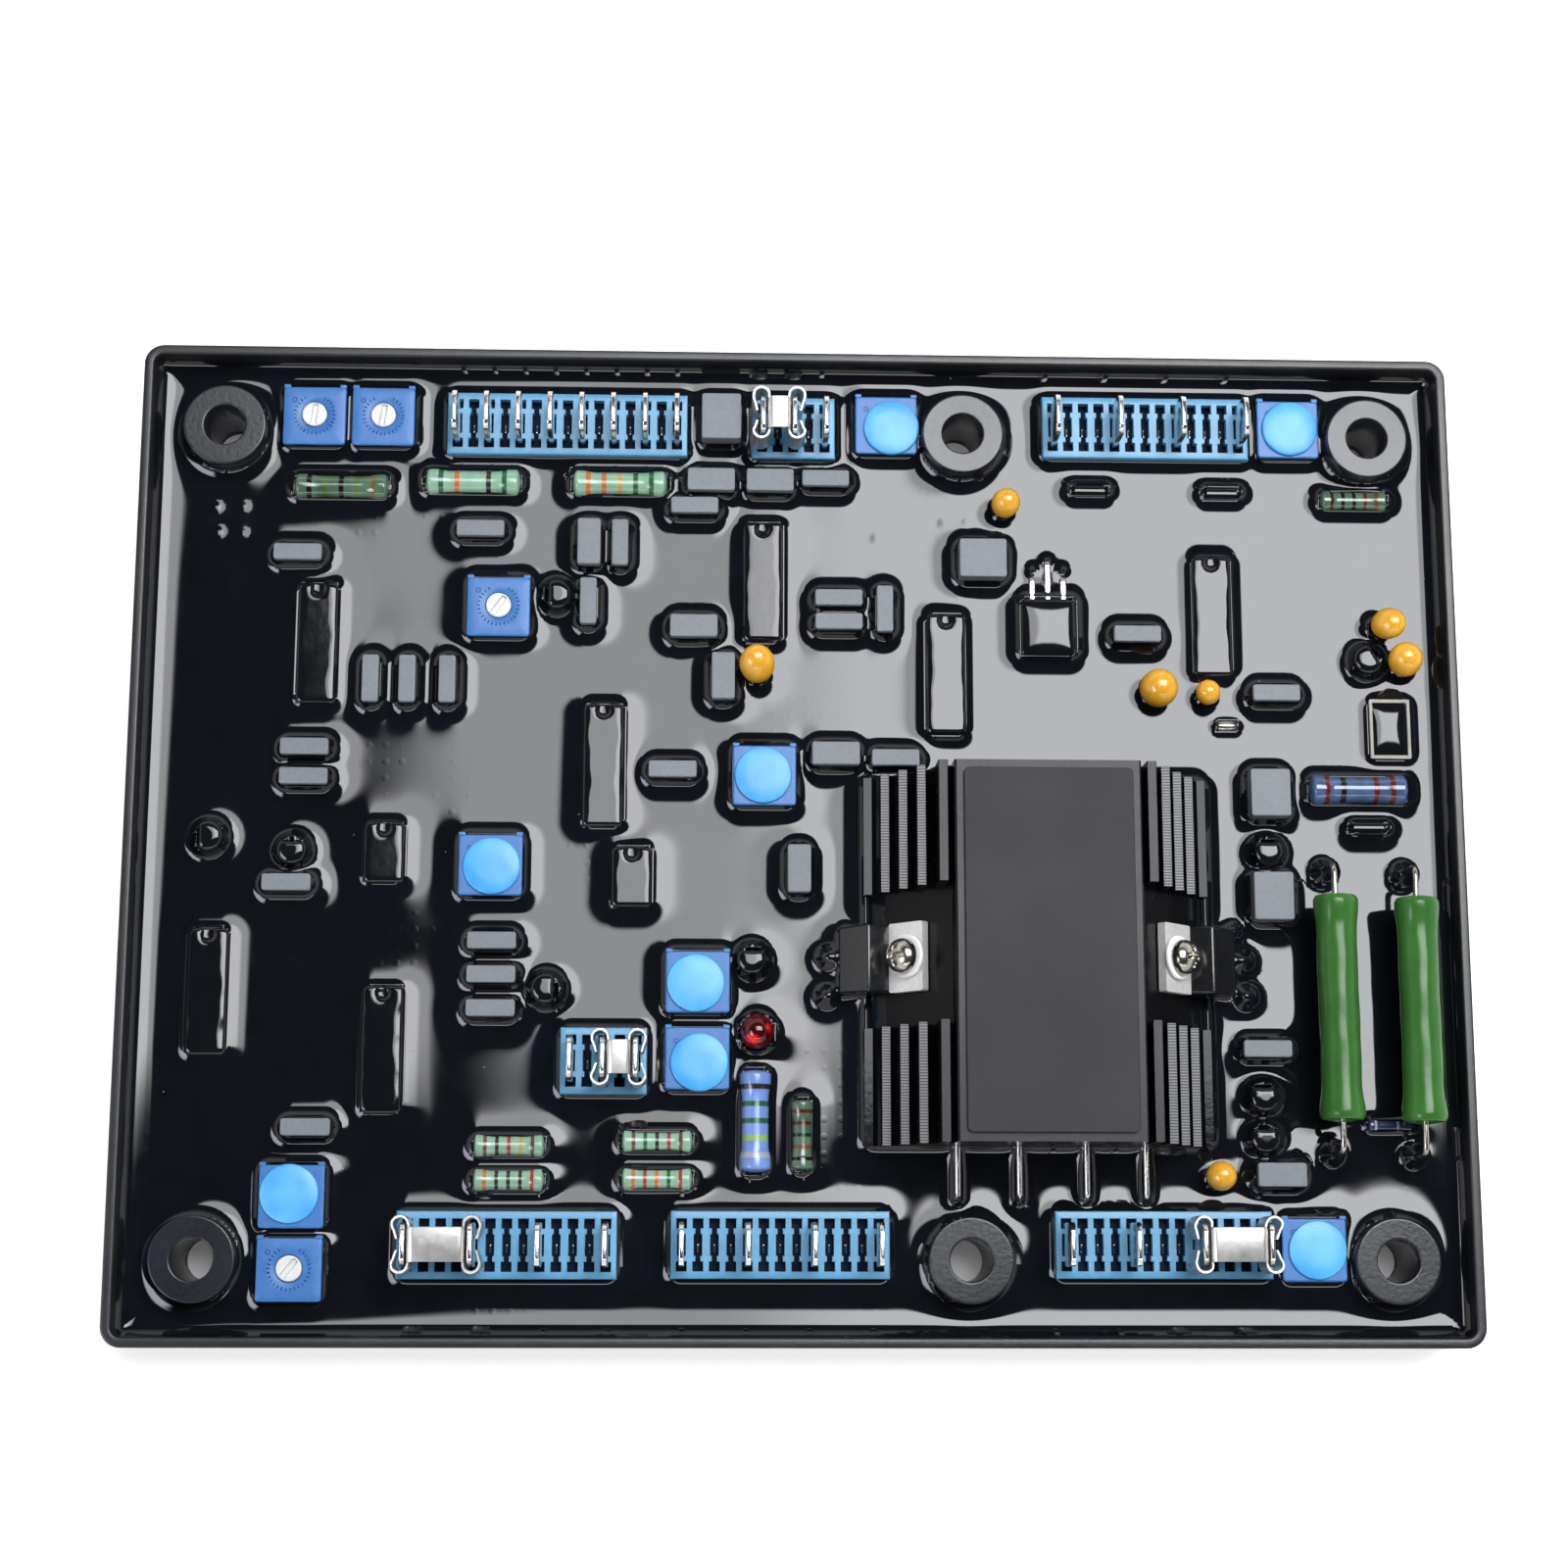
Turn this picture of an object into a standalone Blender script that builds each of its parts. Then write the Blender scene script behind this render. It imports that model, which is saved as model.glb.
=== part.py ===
"""Potted automatic voltage regulator of a generator, in an open tray.

Metres, +Z up. The origin is the centre of the tray's underside. Layout lists are in
millimetres from that centre, as (x, y), and turned by the angles beside them.
"""

import math

import bmesh
import bpy
from mathutils import Euler, Matrix, Vector

MM = 0.001

# Tray and its six screw bosses
TRAY_LENGTH = 0.200
TRAY_WIDTH = 0.150
TRAY_HEIGHT = 0.015
TRAY_CORNER = 0.003
TRAY_WALL = 0.0015
TRAY_FLOOR = 0.0016
FIXING_LENGTH = 0.175
FIXING_WIDTH = 0.125
MIDDLE_FIXING_X = 0.025
BOSS_DIAMETER = 0.0125
BOSS_TOP_BELOW_RIM = 0.0003
BOSS_CHAMFER = 0.0005
BOSS_SHOULDER_DIAMETER = 0.016
FIXING_HOLE = 0.0062

# Levels inside the tray
SEAT_GAP = 0.0003
BOARD_UNDERSIDE = 0.0054
BOARD_THICKNESS = 0.0016
BOARD_EDGE_GAP = 0.002
RESIN_LEVEL = 0.010
SUNK_IN_BOARD = 0.0003

# Film capacitors: length along X before turning, width, height over the board
FILM_SIZES = {
    "narrow": (0.0072, 0.0025, 0.0066),
    "medium": (0.0072, 0.0035, 0.0070),
    "wide": (0.0072, 0.0060, 0.0072),
}
FILM_CAPACITORS = {
    "narrow": [
        (-76, 43, 0), (4, 55.5, 0), (-16, 51, 0), (-48.5, 47, 0), (6, 36.7, 0), (6, 33, 0),
        (51.5, 31.5, 0), (72.5, 22.5, 0), (69.5, -31.5, 0), (-74, 13, 0), (-74, 8.5, 0),
        (-76, -7.5, 0), (-19, 10, 0), (14.5, 12, 0), (-45.5, -16, 0), (-45.5, -21, 0),
        (-45.5, -26, 0), (-72, -43.5, 0), (-64.5, 23.5, 90), (-59, 23.5, 90), (-53, 23.5, 90),
        (-27.3, 45, 90), (-32, 35.8, 90), (13, 35, 90),
    ],
    "medium": [
        (-13.5, 55, 0), (-4.5, 55, 0), (-16, 32, 0), (5.5, 12.5, 0), (71, -50, 0),
        (-32, 45, 90), (-11.5, 24.3, 90), (0, -5, 90),
    ],
    "wide": [(28, 43, 0), (-12, 65, 90), (71, 7, 90), (71, -8.7, 90)],
}

# Dual in-line chips: body length along Y, width, height over the board
CHIP_WIDTH = 0.0064
CHIP_TOP_WIDTH = 0.0052
CHIP_HEIGHT = 0.0040
CHIP_NOTCH = 0.0009
CHIP_LENGTHS = {"long": 0.0192, "short": 0.0096}
CHIPS = {
    "long": [
        (-73, 29.5), (-5.5, 39.7), (22.5, 25.5), (63.5, 35), (-87.5, -23.5), (-61.5, -32),
        (-29.5, 11),
    ],
    "short": [(-62, -2.5), (-25, -6), (90.3, 17.5)],
}

# Small transistors: D-shaped bodies
SMALL_CASE_RADIUS = 0.0023
SMALL_CASE_FLAT = 0.0013
SMALL_CASE_TOP = 0.0062
SMALL_TRANSISTORS = [
    (-88, -0.5, 180), (-75.5, -2.5, 90), (-37.5, -23, 0), (-7, -18.5, 90), (-36.8, 37, 180),
    (87, 28, 30), (70.7, -1.7, 90), (69, -38.5, 90), (69, -44.6, 90),
]

# Axial parts: body diameter, body length, height of the axis over the board, lead diameter
AXIAL_SIZES = {
    "resistor_large": (0.0044, 0.0145, 0.0030, 0.0008),
    "resistor_small": (0.0036, 0.0104, 0.0030, 0.0007),
    "resistor_mini": (0.0024, 0.0066, 0.0026, 0.0006),
    "diode": (0.0027, 0.0055, 0.0026, 0.0008),
    "diode_mini": (0.0018, 0.0036, 0.0026, 0.0006),
    "power": (0.0047, 0.0150, 0.0034, 0.0008),
}
AXIAL_LEAD_REACH = 0.0012
RESISTOR_END_SHARE = 0.16
RESISTOR_WAIST = 0.92
AXIAL_PARTS = {
    "resistor_large": [(-70, 54, 0), (-50, 55, 0), (-27.5, 55, 0)],
    "resistor_small": [
        (86, 53.6, 0), (0.5, -44.3, 90), (-42.5, -46, 0), (-42.5, -51, 0), (-20.8, -45.3, 0),
        (-20.8, -50.8, 0),
    ],
    "resistor_mini": [(88, -42.6, 0)],
    "diode": [(45, 54.8, 0), (65.5, 54.6, 0), (86.5, 2.2, 0)],
    "diode_mini": [(65.4, 17.9, 0)],
}
POWER_RESISTORS = [(85, 8, 0), (-6.4, -42.3, 90)]

# Square single-turn trimmers; the open ones show their slotted rotor
TRIMMER_SIDE = 0.00953
TRIMMER_HEIGHT = 0.0050
TRIMMER_LIP_WIDTH = 0.0016
TRIMMER_LIP_HEIGHT = 0.0004
ROTOR_RADIUS = 0.0019
ROTOR_HEIGHT = 0.0016
ROTOR_PROUD = 0.0003
ROTOR_SLOT_WIDTH = 0.0007
ROTOR_SLOT_DEPTH = 0.0006
ROTOR_CLEARANCE = 0.0003
SEAL_RADIUS = 0.0043
SEAL_THICKNESS = 0.0006
TRIMMERS = {
    1: (-74.3, 65), 2: (-63.8, 65), 3: (13.4, 64.6), 4: (-45.6, 35.2), 5: (75.8, 64.7),
    6: (-5.2, 9.5), 7: (-46, -4.4), 8: (-15, -21.7), 9: (-15, -33), 10: (-73.8, -53.3),
    11: (-73.8, -63.8), 12: (75.7, -60.7),
}
ROTOR_ANGLES = {1: 25, 2: -20, 4: -60, 11: -35}

# Terminal strips: slotted housings with flat tabs standing in some of the slots
STRIP_WIDTH = 0.0098
STRIP_HEIGHT = 0.0048
STRIP_END_MARGIN = 0.0009
SLOT_PITCH = 0.0024
SLOT_LENGTH = 0.0075
SLOT_WIDTH = 0.0014
SLOT_DEPTH = 0.0030
TAB_WIDTH = 0.0063
TAB_THICKNESS = 0.0008
TAB_STANDS = 0.0076
TAB_TIP = 0.0012
TERMINAL_STRIPS = [
    # x, y, slots, slots that hold a tab
    (-35.6, 64, 15, (0, 2, 4, 6, 8, 10, 12, 14)),
    (-0.9, 63.8, 5, (0, 2, 4)),
    (53.6, 64.5, 13, (0, 4, 8, 12)),
    (-28.8, -33.6, 5, (0, 2, 4)),
    (-42.5, -60.4, 13, (0, 4, 8, 12)),
    (-2.7, -60.3, 13, (0, 4, 8, 12)),
    (53.6, -60.2, 13, (0, 4, 8, 12)),
]

# Shorting links: two receptacles folded from one sheet, joined by a bridge
LINK_SHEET = 0.0004
LINK_BRIDGE_WIDTH = 0.0049
LINK_HEIGHT = 0.0062
LINK_CURL_RADIUS = 0.0012
LINK_CURL_CENTRE_IN = 0.0004
LINK_CURL_SWEEP = 215
LINK_TAIL_GAP = 0.0012
LINKS = [
    # strip, the two slots whose tabs it joins
    (1, 0, 2),
    (3, 2, 4),
    (4, 0, 4),
    (6, 8, 12),
]

# Heat sink: half profile measured from its middle plane
SINK_X = 0.0355
SINK_FRONT_Y = -0.046
SINK_LENGTH = 0.055
SINK_TOP = 0.028
SINK_PLATEAU_HALF = 0.0136
SINK_SHOULDER_Z = 0.0228
SINK_SLOPE = math.radians(46)
SINK_HALF_WIDTH = 0.0275
SINK_FOOT_TOP = 0.0095
SINK_CHANNEL_HALF = 0.0180
FIN_THICKNESS = 0.0014
FINS = [(0.0152, 0.0276), (0.0180, 0.0230), (0.0204, 0.0190), (0.0228, 0.0152), (0.0252, 0.0122)]
SEAT_LENGTH = 0.020
SEAT_MIDDLE_Y = -0.0187
SEAT_DEPTH = 0.0002
PLATE_LENGTH = 0.0525
PLATE_WIDTH = 0.0246
PLATE_THICKNESS = 0.0005

# Power transistors on the sloping seats, with their screws and washers
CASE_WIDTH = 0.0102
CASE_LENGTH = 0.0086
CASE_THICKNESS = 0.0046
TAB_LENGTH = 0.0061
TAB_PLATE = 0.0013
TAB_HOLE_FROM_END = 0.0026
CASE_START_OFFSET = 0.0167
CASE_LEAD = 0.0008
CASE_LEAD_PITCH = 0.00254
SCREW_SHANK = 0.0029
SCREW_HEAD = 0.0052
SCREW_HEAD_HEIGHT = 0.0021
SCREW_LENGTH = 0.0044
SCREW_RECESS = 0.0009
WASHER_DIAMETER = 0.0064
WASHER_THICKNESS = 0.0006
SCREW_CLEARANCE = 0.0003

# Power module under the heat sink, with four leads at the front
MODULE_LENGTH = 0.050
MODULE_SIDE_GAP = 0.0005
MODULE_HEIGHT = 0.0050
MODULE_LEAD_OFFSETS = (-0.0121, -0.0030, 0.0070, 0.0158)
MODULE_LEAD_DIAMETER = 0.0009
MODULE_LEAD_HEIGHT = 0.0042
MODULE_LEAD_REACH = 0.0075

# Green wirewound resistors raised over the resin on their leads
WIREWOUND_LENGTH = 0.034
WIREWOUND_RADIUS = 0.0034
WIREWOUND_WAIST = 0.0032
WIREWOUND_AXIS_Z = 0.018
WIREWOUND_LEAD = 0.0009
WIREWOUND_LEAD_REACH = 0.0042
WIREWOUNDS = [(79.2, -25.7), (91.3, -26)]

# Small regulator lying flat, leads to the back
REGULATOR_PLACE = (38.2, 33)
REGULATOR_WIDTH = 0.0092
REGULATOR_LENGTH = 0.0098
REGULATOR_HEIGHT = 0.0042
REGULATOR_EDGE = 0.0012
REGULATOR_LEAD_WIDTH = 0.0011
REGULATOR_LEAD_PITCH = 0.0024
REGULATOR_LEAD_HEIGHT = 0.0037
REGULATOR_LEAD_LENGTHS = (0.0028, 0.0054, 0.0028)

# Indicator lamp
LAMP_PLACE = (-6.2, -29.3)
LAMP_RADIUS = 0.0025
LAMP_FLANGE_RADIUS = 0.0029
LAMP_FLANGE_HEIGHT = 0.0010
LAMP_HEIGHT = 0.0086

# Tantalum drops: bulb place, bulb diameter, lean of the bulb from its foot
DROP_BULB_HEIGHT = 0.0063
DROP_NECK_SHARE = 0.42
DROPS = [
    ((-6.4, 26.2), 5.4, (-0.2, 1.4)),
    ((31.6, 51.8), 4.4, (0.4, 0.8)),
    ((54.5, 23.0), 5.8, (0.4, 0.3)),
    ((62.0, 22.4), 3.8, (0.0, 0.2)),
    ((90.0, 33.4), 4.8, (1.6, 0.0)),
    ((92.4, 27.8), 5.2, (0.2, 0.6)),
    ((62.0, -50.2), 4.4, (0.4, 0.0)),
]

# Facets round a circle
FINE, MEDIUM, COARSE = 16, 12, 8

BOARD_TOP = BOARD_UNDERSIDE + BOARD_THICKNESS
STANDING = BOARD_TOP + SEAT_GAP
BOSS_TOP = TRAY_HEIGHT - BOSS_TOP_BELOW_RIM
TRIMMER_TOP = STANDING + TRIMMER_HEIGHT
STRIP_TOP = STANDING + STRIP_HEIGHT
STRIP_FLOOR = STRIP_TOP - SLOT_DEPTH
TAB_TOP = STRIP_TOP + TAB_STANDS


def clear_scene():
    for obj in list(bpy.data.objects):
        bpy.data.objects.remove(obj, do_unlink=True)


clear_scene()
parts = bpy.data.collections.new("voltage_regulator")
helpers = bpy.data.collections.new("helpers")
helpers.hide_render = True
bpy.context.scene.collection.children.link(parts)
bpy.context.scene.collection.children.link(helpers)


# Materials

def make_material(name, colour, roughness, metallic=0.0):
    """A Principled material of one colour."""
    material = bpy.data.materials.new(name)
    material.use_nodes = True
    shader = material.node_tree.nodes["Principled BSDF"]
    shader.inputs["Base Color"].default_value = (*colour, 1.0)
    shader.inputs["Roughness"].default_value = roughness
    shader.inputs["Metallic"].default_value = metallic
    material.diffuse_color = (*colour, 1.0)
    return material


MATERIALS = {
    "tray": make_material("tray", (0.012, 0.012, 0.013), 0.42),
    "resin": make_material("resin", (0.006, 0.007, 0.009), 0.05),
    "board": make_material("board", (0.010, 0.012, 0.015), 0.20),
    "trimmer": make_material("trimmer", (0.025, 0.120, 0.560), 0.35),
    "rotor": make_material("rotor", (0.820, 0.820, 0.800), 0.40),
    "seal": make_material("seal", (0.075, 0.420, 0.880), 0.45),
    "strip": make_material("strip", (0.110, 0.400, 0.680), 0.40),
    "tin": make_material("tin", (0.760, 0.760, 0.740), 0.22, 1.0),
    "sink": make_material("sink", (0.030, 0.030, 0.032), 0.45, 0.8),
    "plate": make_material("plate", (0.008, 0.008, 0.008), 0.50),
    "steel": make_material("steel", (0.600, 0.600, 0.580), 0.25, 1.0),
    "nylon": make_material("nylon", (0.820, 0.820, 0.810), 0.45),
    "epoxy": make_material("epoxy", (0.012, 0.012, 0.014), 0.30),
    "green": make_material("green", (0.035, 0.170, 0.030), 0.20),
    "amber": make_material("amber", (0.760, 0.340, 0.020), 0.30),
    "lamp": make_material("lamp", (0.300, 0.003, 0.004), 0.10),
    "blue_coat": make_material("blue_coat", (0.180, 0.300, 0.800), 0.30),
}


# Shape makers: each returns a loose object, for keep or combine to put in a collection

def rounded_rectangle(length, width, radius, segments=3):
    """Corner points of a rectangle with round corners, anticlockwise."""
    points = []
    for quarter, (sx, sy) in enumerate(((1, 1), (-1, 1), (-1, -1), (1, -1))):
        centre = (sx * (length / 2 - radius), sy * (width / 2 - radius))
        for step in range(segments + 1):
            angle = math.radians(90) * (quarter + step / segments)
            points.append((centre[0] + radius * math.cos(angle), centre[1] + radius * math.sin(angle)))
    return points


def object_from_bmesh(name, bm, location=(0, 0, 0), rotation=(0, 0, 0)):
    mesh = bpy.data.meshes.new(name)
    bm.to_mesh(mesh)
    bm.free()
    obj = bpy.data.objects.new(name, mesh)
    obj.location = location
    obj.rotation_euler = rotation
    return obj


def box(name, size, centre, turn=0.0):
    """A block of the given size, its middle at centre, turned about Z."""
    bm = bmesh.new()
    bmesh.ops.create_cube(bm, size=1.0, matrix=Matrix.Diagonal((*size, 1.0)))
    return object_from_bmesh(name, bm, centre, (0, 0, turn))


def block(name, length, width, low, high, place, turn=0.0):
    """An upright block between two heights."""
    centre = (place[0], place[1], (low + high) / 2)
    return box(name, (length, width, high - low), centre, turn)


def cylinder(name, radius, low, high, place, facets, top_radius=None):
    """An upright cylinder or cone between two heights."""
    bm = bmesh.new()
    top = radius if top_radius is None else top_radius
    bmesh.ops.create_cone(
        bm, cap_ends=True, segments=facets, radius1=radius, radius2=top, depth=high - low
    )
    return object_from_bmesh(name, bm, (place[0], place[1], (low + high) / 2))


def mesh_from_curve(name, curve, location, rotation):
    """The curve's mesh, welded, on an object of its own."""
    guide = bpy.data.objects.new(name + "_guide", curve)
    bpy.context.scene.collection.objects.link(guide)
    graph = bpy.context.evaluated_depsgraph_get()
    mesh = bpy.data.meshes.new_from_object(guide.evaluated_get(graph))
    bpy.data.objects.remove(guide, do_unlink=True)
    bm = bmesh.new()
    bm.from_mesh(mesh)
    bmesh.ops.remove_doubles(bm, verts=bm.verts, dist=1e-7)
    bm.to_mesh(mesh)
    bm.free()
    mesh.name = name
    mesh.materials.clear()
    obj = bpy.data.objects.new(name, mesh)
    obj.location = location
    obj.rotation_euler = rotation
    return obj


def outline(name, points, thickness, location=(0, 0, 0), rotation=(0, 0, 0)):
    """A flat outline in its own XY plane, thickened equally to both sides."""
    curve = bpy.data.curves.new(name, "CURVE")
    curve.dimensions = "2D"
    curve.fill_mode = "BOTH"
    curve.extrude = thickness / 2
    spline = curve.splines.new("POLY")
    spline.points.add(len(points) - 1)
    for point, (x, y) in zip(spline.points, points):
        point.co = (x, y, 0, 1)
    spline.use_cyclic_u = True
    return mesh_from_curve(name, curve, location, rotation)


def wire(name, points, diameter, sides=6):
    """A bent lead through the points."""
    curve = bpy.data.curves.new(name, "CURVE")
    curve.dimensions = "3D"
    curve.bevel_depth = diameter / 2
    curve.bevel_resolution = sides // 2 - 2
    curve.use_fill_caps = True
    spline = curve.splines.new("POLY")
    spline.points.add(len(points) - 1)
    for point, place in zip(spline.points, points):
        point.co = (*place, 1)
    return mesh_from_curve(name, curve, (0, 0, 0), (0, 0, 0))


def turned(name, profile, facets, location=(0, 0, 0), rotation=(0, 0, 0)):
    """A profile of (radius, height), top to bottom, turned about Z."""
    mesh = bpy.data.meshes.new(name)
    edges = [(index, index + 1) for index in range(len(profile) - 1)]
    mesh.from_pydata([(radius, 0, height) for radius, height in profile], edges, [])
    obj = bpy.data.objects.new(name, mesh)
    obj.location = location
    obj.rotation_euler = rotation
    screw = obj.modifiers.new("Turn", "SCREW")
    screw.steps = facets
    screw.render_steps = facets
    screw.use_merge_vertices = True
    screw.merge_threshold = 1e-6
    return obj


def keep(obj, material):
    """Makes the object one of the model's pieces."""
    parts.objects.link(obj)
    obj.data.materials.append(MATERIALS[material])
    if obj.modifiers or len(obj.data.polygons) > 6:
        obj.data.shade_smooth()
        obj.data.set_sharp_from_angle(angle=math.radians(35))
    return obj


def combine(target, operation, others):
    """Cuts the others from the target, or joins them to it."""
    group = bpy.data.collections.new(f"{target.name} {operation.lower()}")
    group.hide_render = True
    helpers.children.link(group)
    for other in others:
        group.objects.link(other)
        other.hide_render = True
        other.display_type = "WIRE"
    boolean = target.modifiers.new(operation.title(), "BOOLEAN")
    boolean.operation = operation
    boolean.operand_type = "COLLECTION"
    boolean.collection = group
    boolean.solver = "EXACT"
    return target


def millimetres(place):
    return (place[0] * MM, place[1] * MM)


# Tray, resin and board

def fixing_places():
    """Boss centres: four corners and one in the middle of each long side."""
    return [
        (x, side * FIXING_WIDTH / 2)
        for side in (1, -1)
        for x in (-FIXING_LENGTH / 2, MIDDLE_FIXING_X, FIXING_LENGTH / 2)
    ]


def boss(place):
    """A round boss with a wider shoulder that carries the board."""
    radius, shoulder = BOSS_DIAMETER / 2, BOSS_SHOULDER_DIAMETER / 2
    shoulder_top = BOARD_UNDERSIDE - SEAT_GAP
    low = TRAY_FLOOR / 2
    profile = [
        (0, BOSS_TOP), (radius - BOSS_CHAMFER, BOSS_TOP), (radius, BOSS_TOP - BOSS_CHAMFER),
        (radius, shoulder_top), (shoulder, shoulder_top), (shoulder, low), (0, low),
    ]
    return turned("boss", profile, FINE, (*place, 0))


def boss_room(place):
    """What the resin leaves free round a boss and its shoulder."""
    radius, shoulder = BOSS_DIAMETER / 2 + SEAT_GAP, BOSS_SHOULDER_DIAMETER / 2 + SEAT_GAP
    shoulder_top = BOARD_UNDERSIDE - SEAT_GAP / 2
    profile = [
        (0, BOSS_TOP), (radius, BOSS_TOP), (radius, shoulder_top), (shoulder, shoulder_top),
        (shoulder, 0), (0, 0),
    ]
    return turned("boss_room", profile, FINE, (*place, 0))


def build_tray():
    outer = rounded_rectangle(TRAY_LENGTH, TRAY_WIDTH, TRAY_CORNER)
    tray = keep(outline("potting_tray", outer, TRAY_HEIGHT, (0, 0, TRAY_HEIGHT / 2)), "tray")
    inner = rounded_rectangle(
        TRAY_LENGTH - 2 * TRAY_WALL, TRAY_WIDTH - 2 * TRAY_WALL, TRAY_CORNER - TRAY_WALL
    )
    hollow = outline("hollow", inner, TRAY_HEIGHT, (0, 0, TRAY_FLOOR + TRAY_HEIGHT / 2))
    combine(tray, "DIFFERENCE", [hollow])
    combine(tray, "UNION", [boss(place) for place in fixing_places()])
    holes = [
        cylinder("hole", FIXING_HOLE / 2, -TRAY_FLOOR, 2 * TRAY_HEIGHT, place, FINE)
        for place in fixing_places()
    ]
    combine(tray, "DIFFERENCE", holes)


def build_resin(footprints):
    """Fills the tray round the board and everything that stands through the surface."""
    spare = TRAY_WALL + SEAT_GAP
    poured = rounded_rectangle(
        TRAY_LENGTH - 2 * spare, TRAY_WIDTH - 2 * spare, TRAY_CORNER - TRAY_WALL
    )
    low = TRAY_FLOOR + SEAT_GAP
    depth = RESIN_LEVEL - low
    resin = keep(outline("potting_resin", poured, depth, (0, 0, low + depth / 2)), "resin")
    length, width = board_size()
    pocket = block(
        "pocket", length + 2 * SEAT_GAP, width + 2 * SEAT_GAP,
        BOARD_UNDERSIDE - SEAT_GAP, BOARD_TOP + SEAT_GAP, (0, 0),
    )
    bosses = [boss_room(place) for place in fixing_places()]
    combine(resin, "DIFFERENCE", [pocket, *bosses, *footprints])


def board_size():
    spare = 2 * (TRAY_WALL + BOARD_EDGE_GAP)
    return TRAY_LENGTH - spare, TRAY_WIDTH - spare


def build_board(soldered):
    length, width = board_size()
    board = keep(block("circuit_board", length, width, BOARD_UNDERSIDE, BOARD_TOP, (0, 0)), "board")
    holes = [
        cylinder("hole", BOSS_DIAMETER / 2 + SEAT_GAP, 0, 2 * BOARD_TOP, place, FINE)
        for place in fixing_places()
    ]
    combine(board, "DIFFERENCE", holes)
    combine(board, "UNION", soldered)


# Openings in the resin, one for each thing that stands through it

def opening_low():
    return BOARD_TOP


def opening_high():
    return RESIN_LEVEL + 5 * SEAT_GAP


def square_opening(length, width, place, turn=0.0):
    grown = 2 * SEAT_GAP
    return block(
        "opening", length + grown, width + grown, opening_low(), opening_high(), place, turn
    )


def round_opening(radius, place):
    return cylinder("opening", radius + SEAT_GAP, opening_low(), opening_high(), place, COARSE)


# Parts soldered to the board

def film_capacitors():
    solids, openings = [], []
    for size, places in FILM_CAPACITORS.items():
        length, width, height = FILM_SIZES[size]
        for x, y, turn in places:
            place, angle = millimetres((x, y)), math.radians(turn)
            low = BOARD_TOP - SUNK_IN_BOARD
            solids.append(block("film", length, width, low, BOARD_TOP + height, place, angle))
            openings.append(square_opening(length, width, place, angle))
    return solids, openings


def chip(length, place):
    """A moulded body with drafted sides and a notch at its back end."""
    half, top_half = CHIP_WIDTH / 2, CHIP_TOP_WIDTH / 2
    section = [
        (-half, -SUNK_IN_BOARD), (half, -SUNK_IN_BOARD), (top_half, CHIP_HEIGHT),
        (-top_half, CHIP_HEIGHT),
    ]
    body = outline("chip", section, length, (*place, BOARD_TOP), (math.radians(90), 0, 0))
    notch_place = (place[0], place[1] + length / 2)
    notch_low = BOARD_TOP + CHIP_HEIGHT - CHIP_NOTCH / 2
    notch = cylinder("notch", CHIP_NOTCH, notch_low, BOARD_TOP + 2 * CHIP_HEIGHT, notch_place, COARSE)
    return combine(body, "DIFFERENCE", [notch])


def chips():
    solids, openings = [], []
    for size, places in CHIPS.items():
        for x, y in places:
            place = millimetres((x, y))
            solids.append(chip(CHIP_LENGTHS[size], place))
            openings.append(square_opening(CHIP_WIDTH, CHIP_LENGTHS[size], place))
    return solids, openings


def small_case_outline():
    """A circle cut by a flat: points from one end of the flat round to the other."""
    start = math.acos(SMALL_CASE_FLAT / SMALL_CASE_RADIUS)
    sweep = 2 * (math.pi - start)
    return [
        (SMALL_CASE_RADIUS * math.cos(angle), SMALL_CASE_RADIUS * math.sin(angle))
        for angle in (start + sweep * step / COARSE for step in range(COARSE + 1))
    ]


def small_transistors():
    solids, openings = [], []
    height = SMALL_CASE_TOP + SUNK_IN_BOARD
    for x, y, turn in SMALL_TRANSISTORS:
        place, angle = millimetres((x, y)), math.radians(turn)
        middle = BOARD_TOP + SMALL_CASE_TOP - height / 2
        solids.append(outline("case", small_case_outline(), height, (*place, middle), (0, 0, angle)))
        openings.append(square_opening(2 * SMALL_CASE_RADIUS, 2 * SMALL_CASE_RADIUS, place, angle))
    return solids, openings


def axial_profile(radius, length, waisted):
    """A body on the Z axis; a waisted one is thicker over its two end caps."""
    half = length / 2
    if not waisted:
        return [(0, half), (radius, half), (radius, -half), (0, -half)]
    cap = length * RESISTOR_END_SHARE
    waist = radius * RESISTOR_WAIST
    upper = [
        (0, half), (radius * 0.75, half), (radius, half - cap * 0.35), (radius, half - cap),
        (waist, half - cap * 1.4),
    ]
    return upper + [(r, -z) for r, z in reversed(upper)]


def axial_part(kind, place, turn, foot_low):
    """The body and its two leads, which bend down into the board."""
    diameter, length, axis_height, lead = AXIAL_SIZES[kind]
    axis_z = BOARD_TOP + axis_height
    body = turned(
        kind, axial_profile(diameter / 2, length, "diode" not in kind), COARSE,
        (*place, axis_z), Euler((0, math.radians(90), turn)),
    )
    reach = length / 2 + AXIAL_LEAD_REACH
    across = Matrix.Rotation(turn, 3, "Z")
    route = [(-reach, 0, foot_low), (-reach, 0, axis_z), (reach, 0, axis_z), (reach, 0, foot_low)]
    points = [Vector((*place, 0)) + across @ Vector(point) for point in route]
    return body, wire("lead", points, lead, 4)


def axial_opening(kind, place, turn):
    diameter, length, _, lead = AXIAL_SIZES[kind]
    reach = length + 2 * AXIAL_LEAD_REACH + lead
    return square_opening(reach, diameter, place, turn)


def axial_parts():
    solids, openings = [], []
    for kind, places in AXIAL_PARTS.items():
        for x, y, turn in places:
            place, angle = millimetres((x, y)), math.radians(turn)
            solids.extend(axial_part(kind, place, angle, BOARD_TOP - SUNK_IN_BOARD))
            openings.append(axial_opening(kind, place, angle))
    return solids, openings


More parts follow.
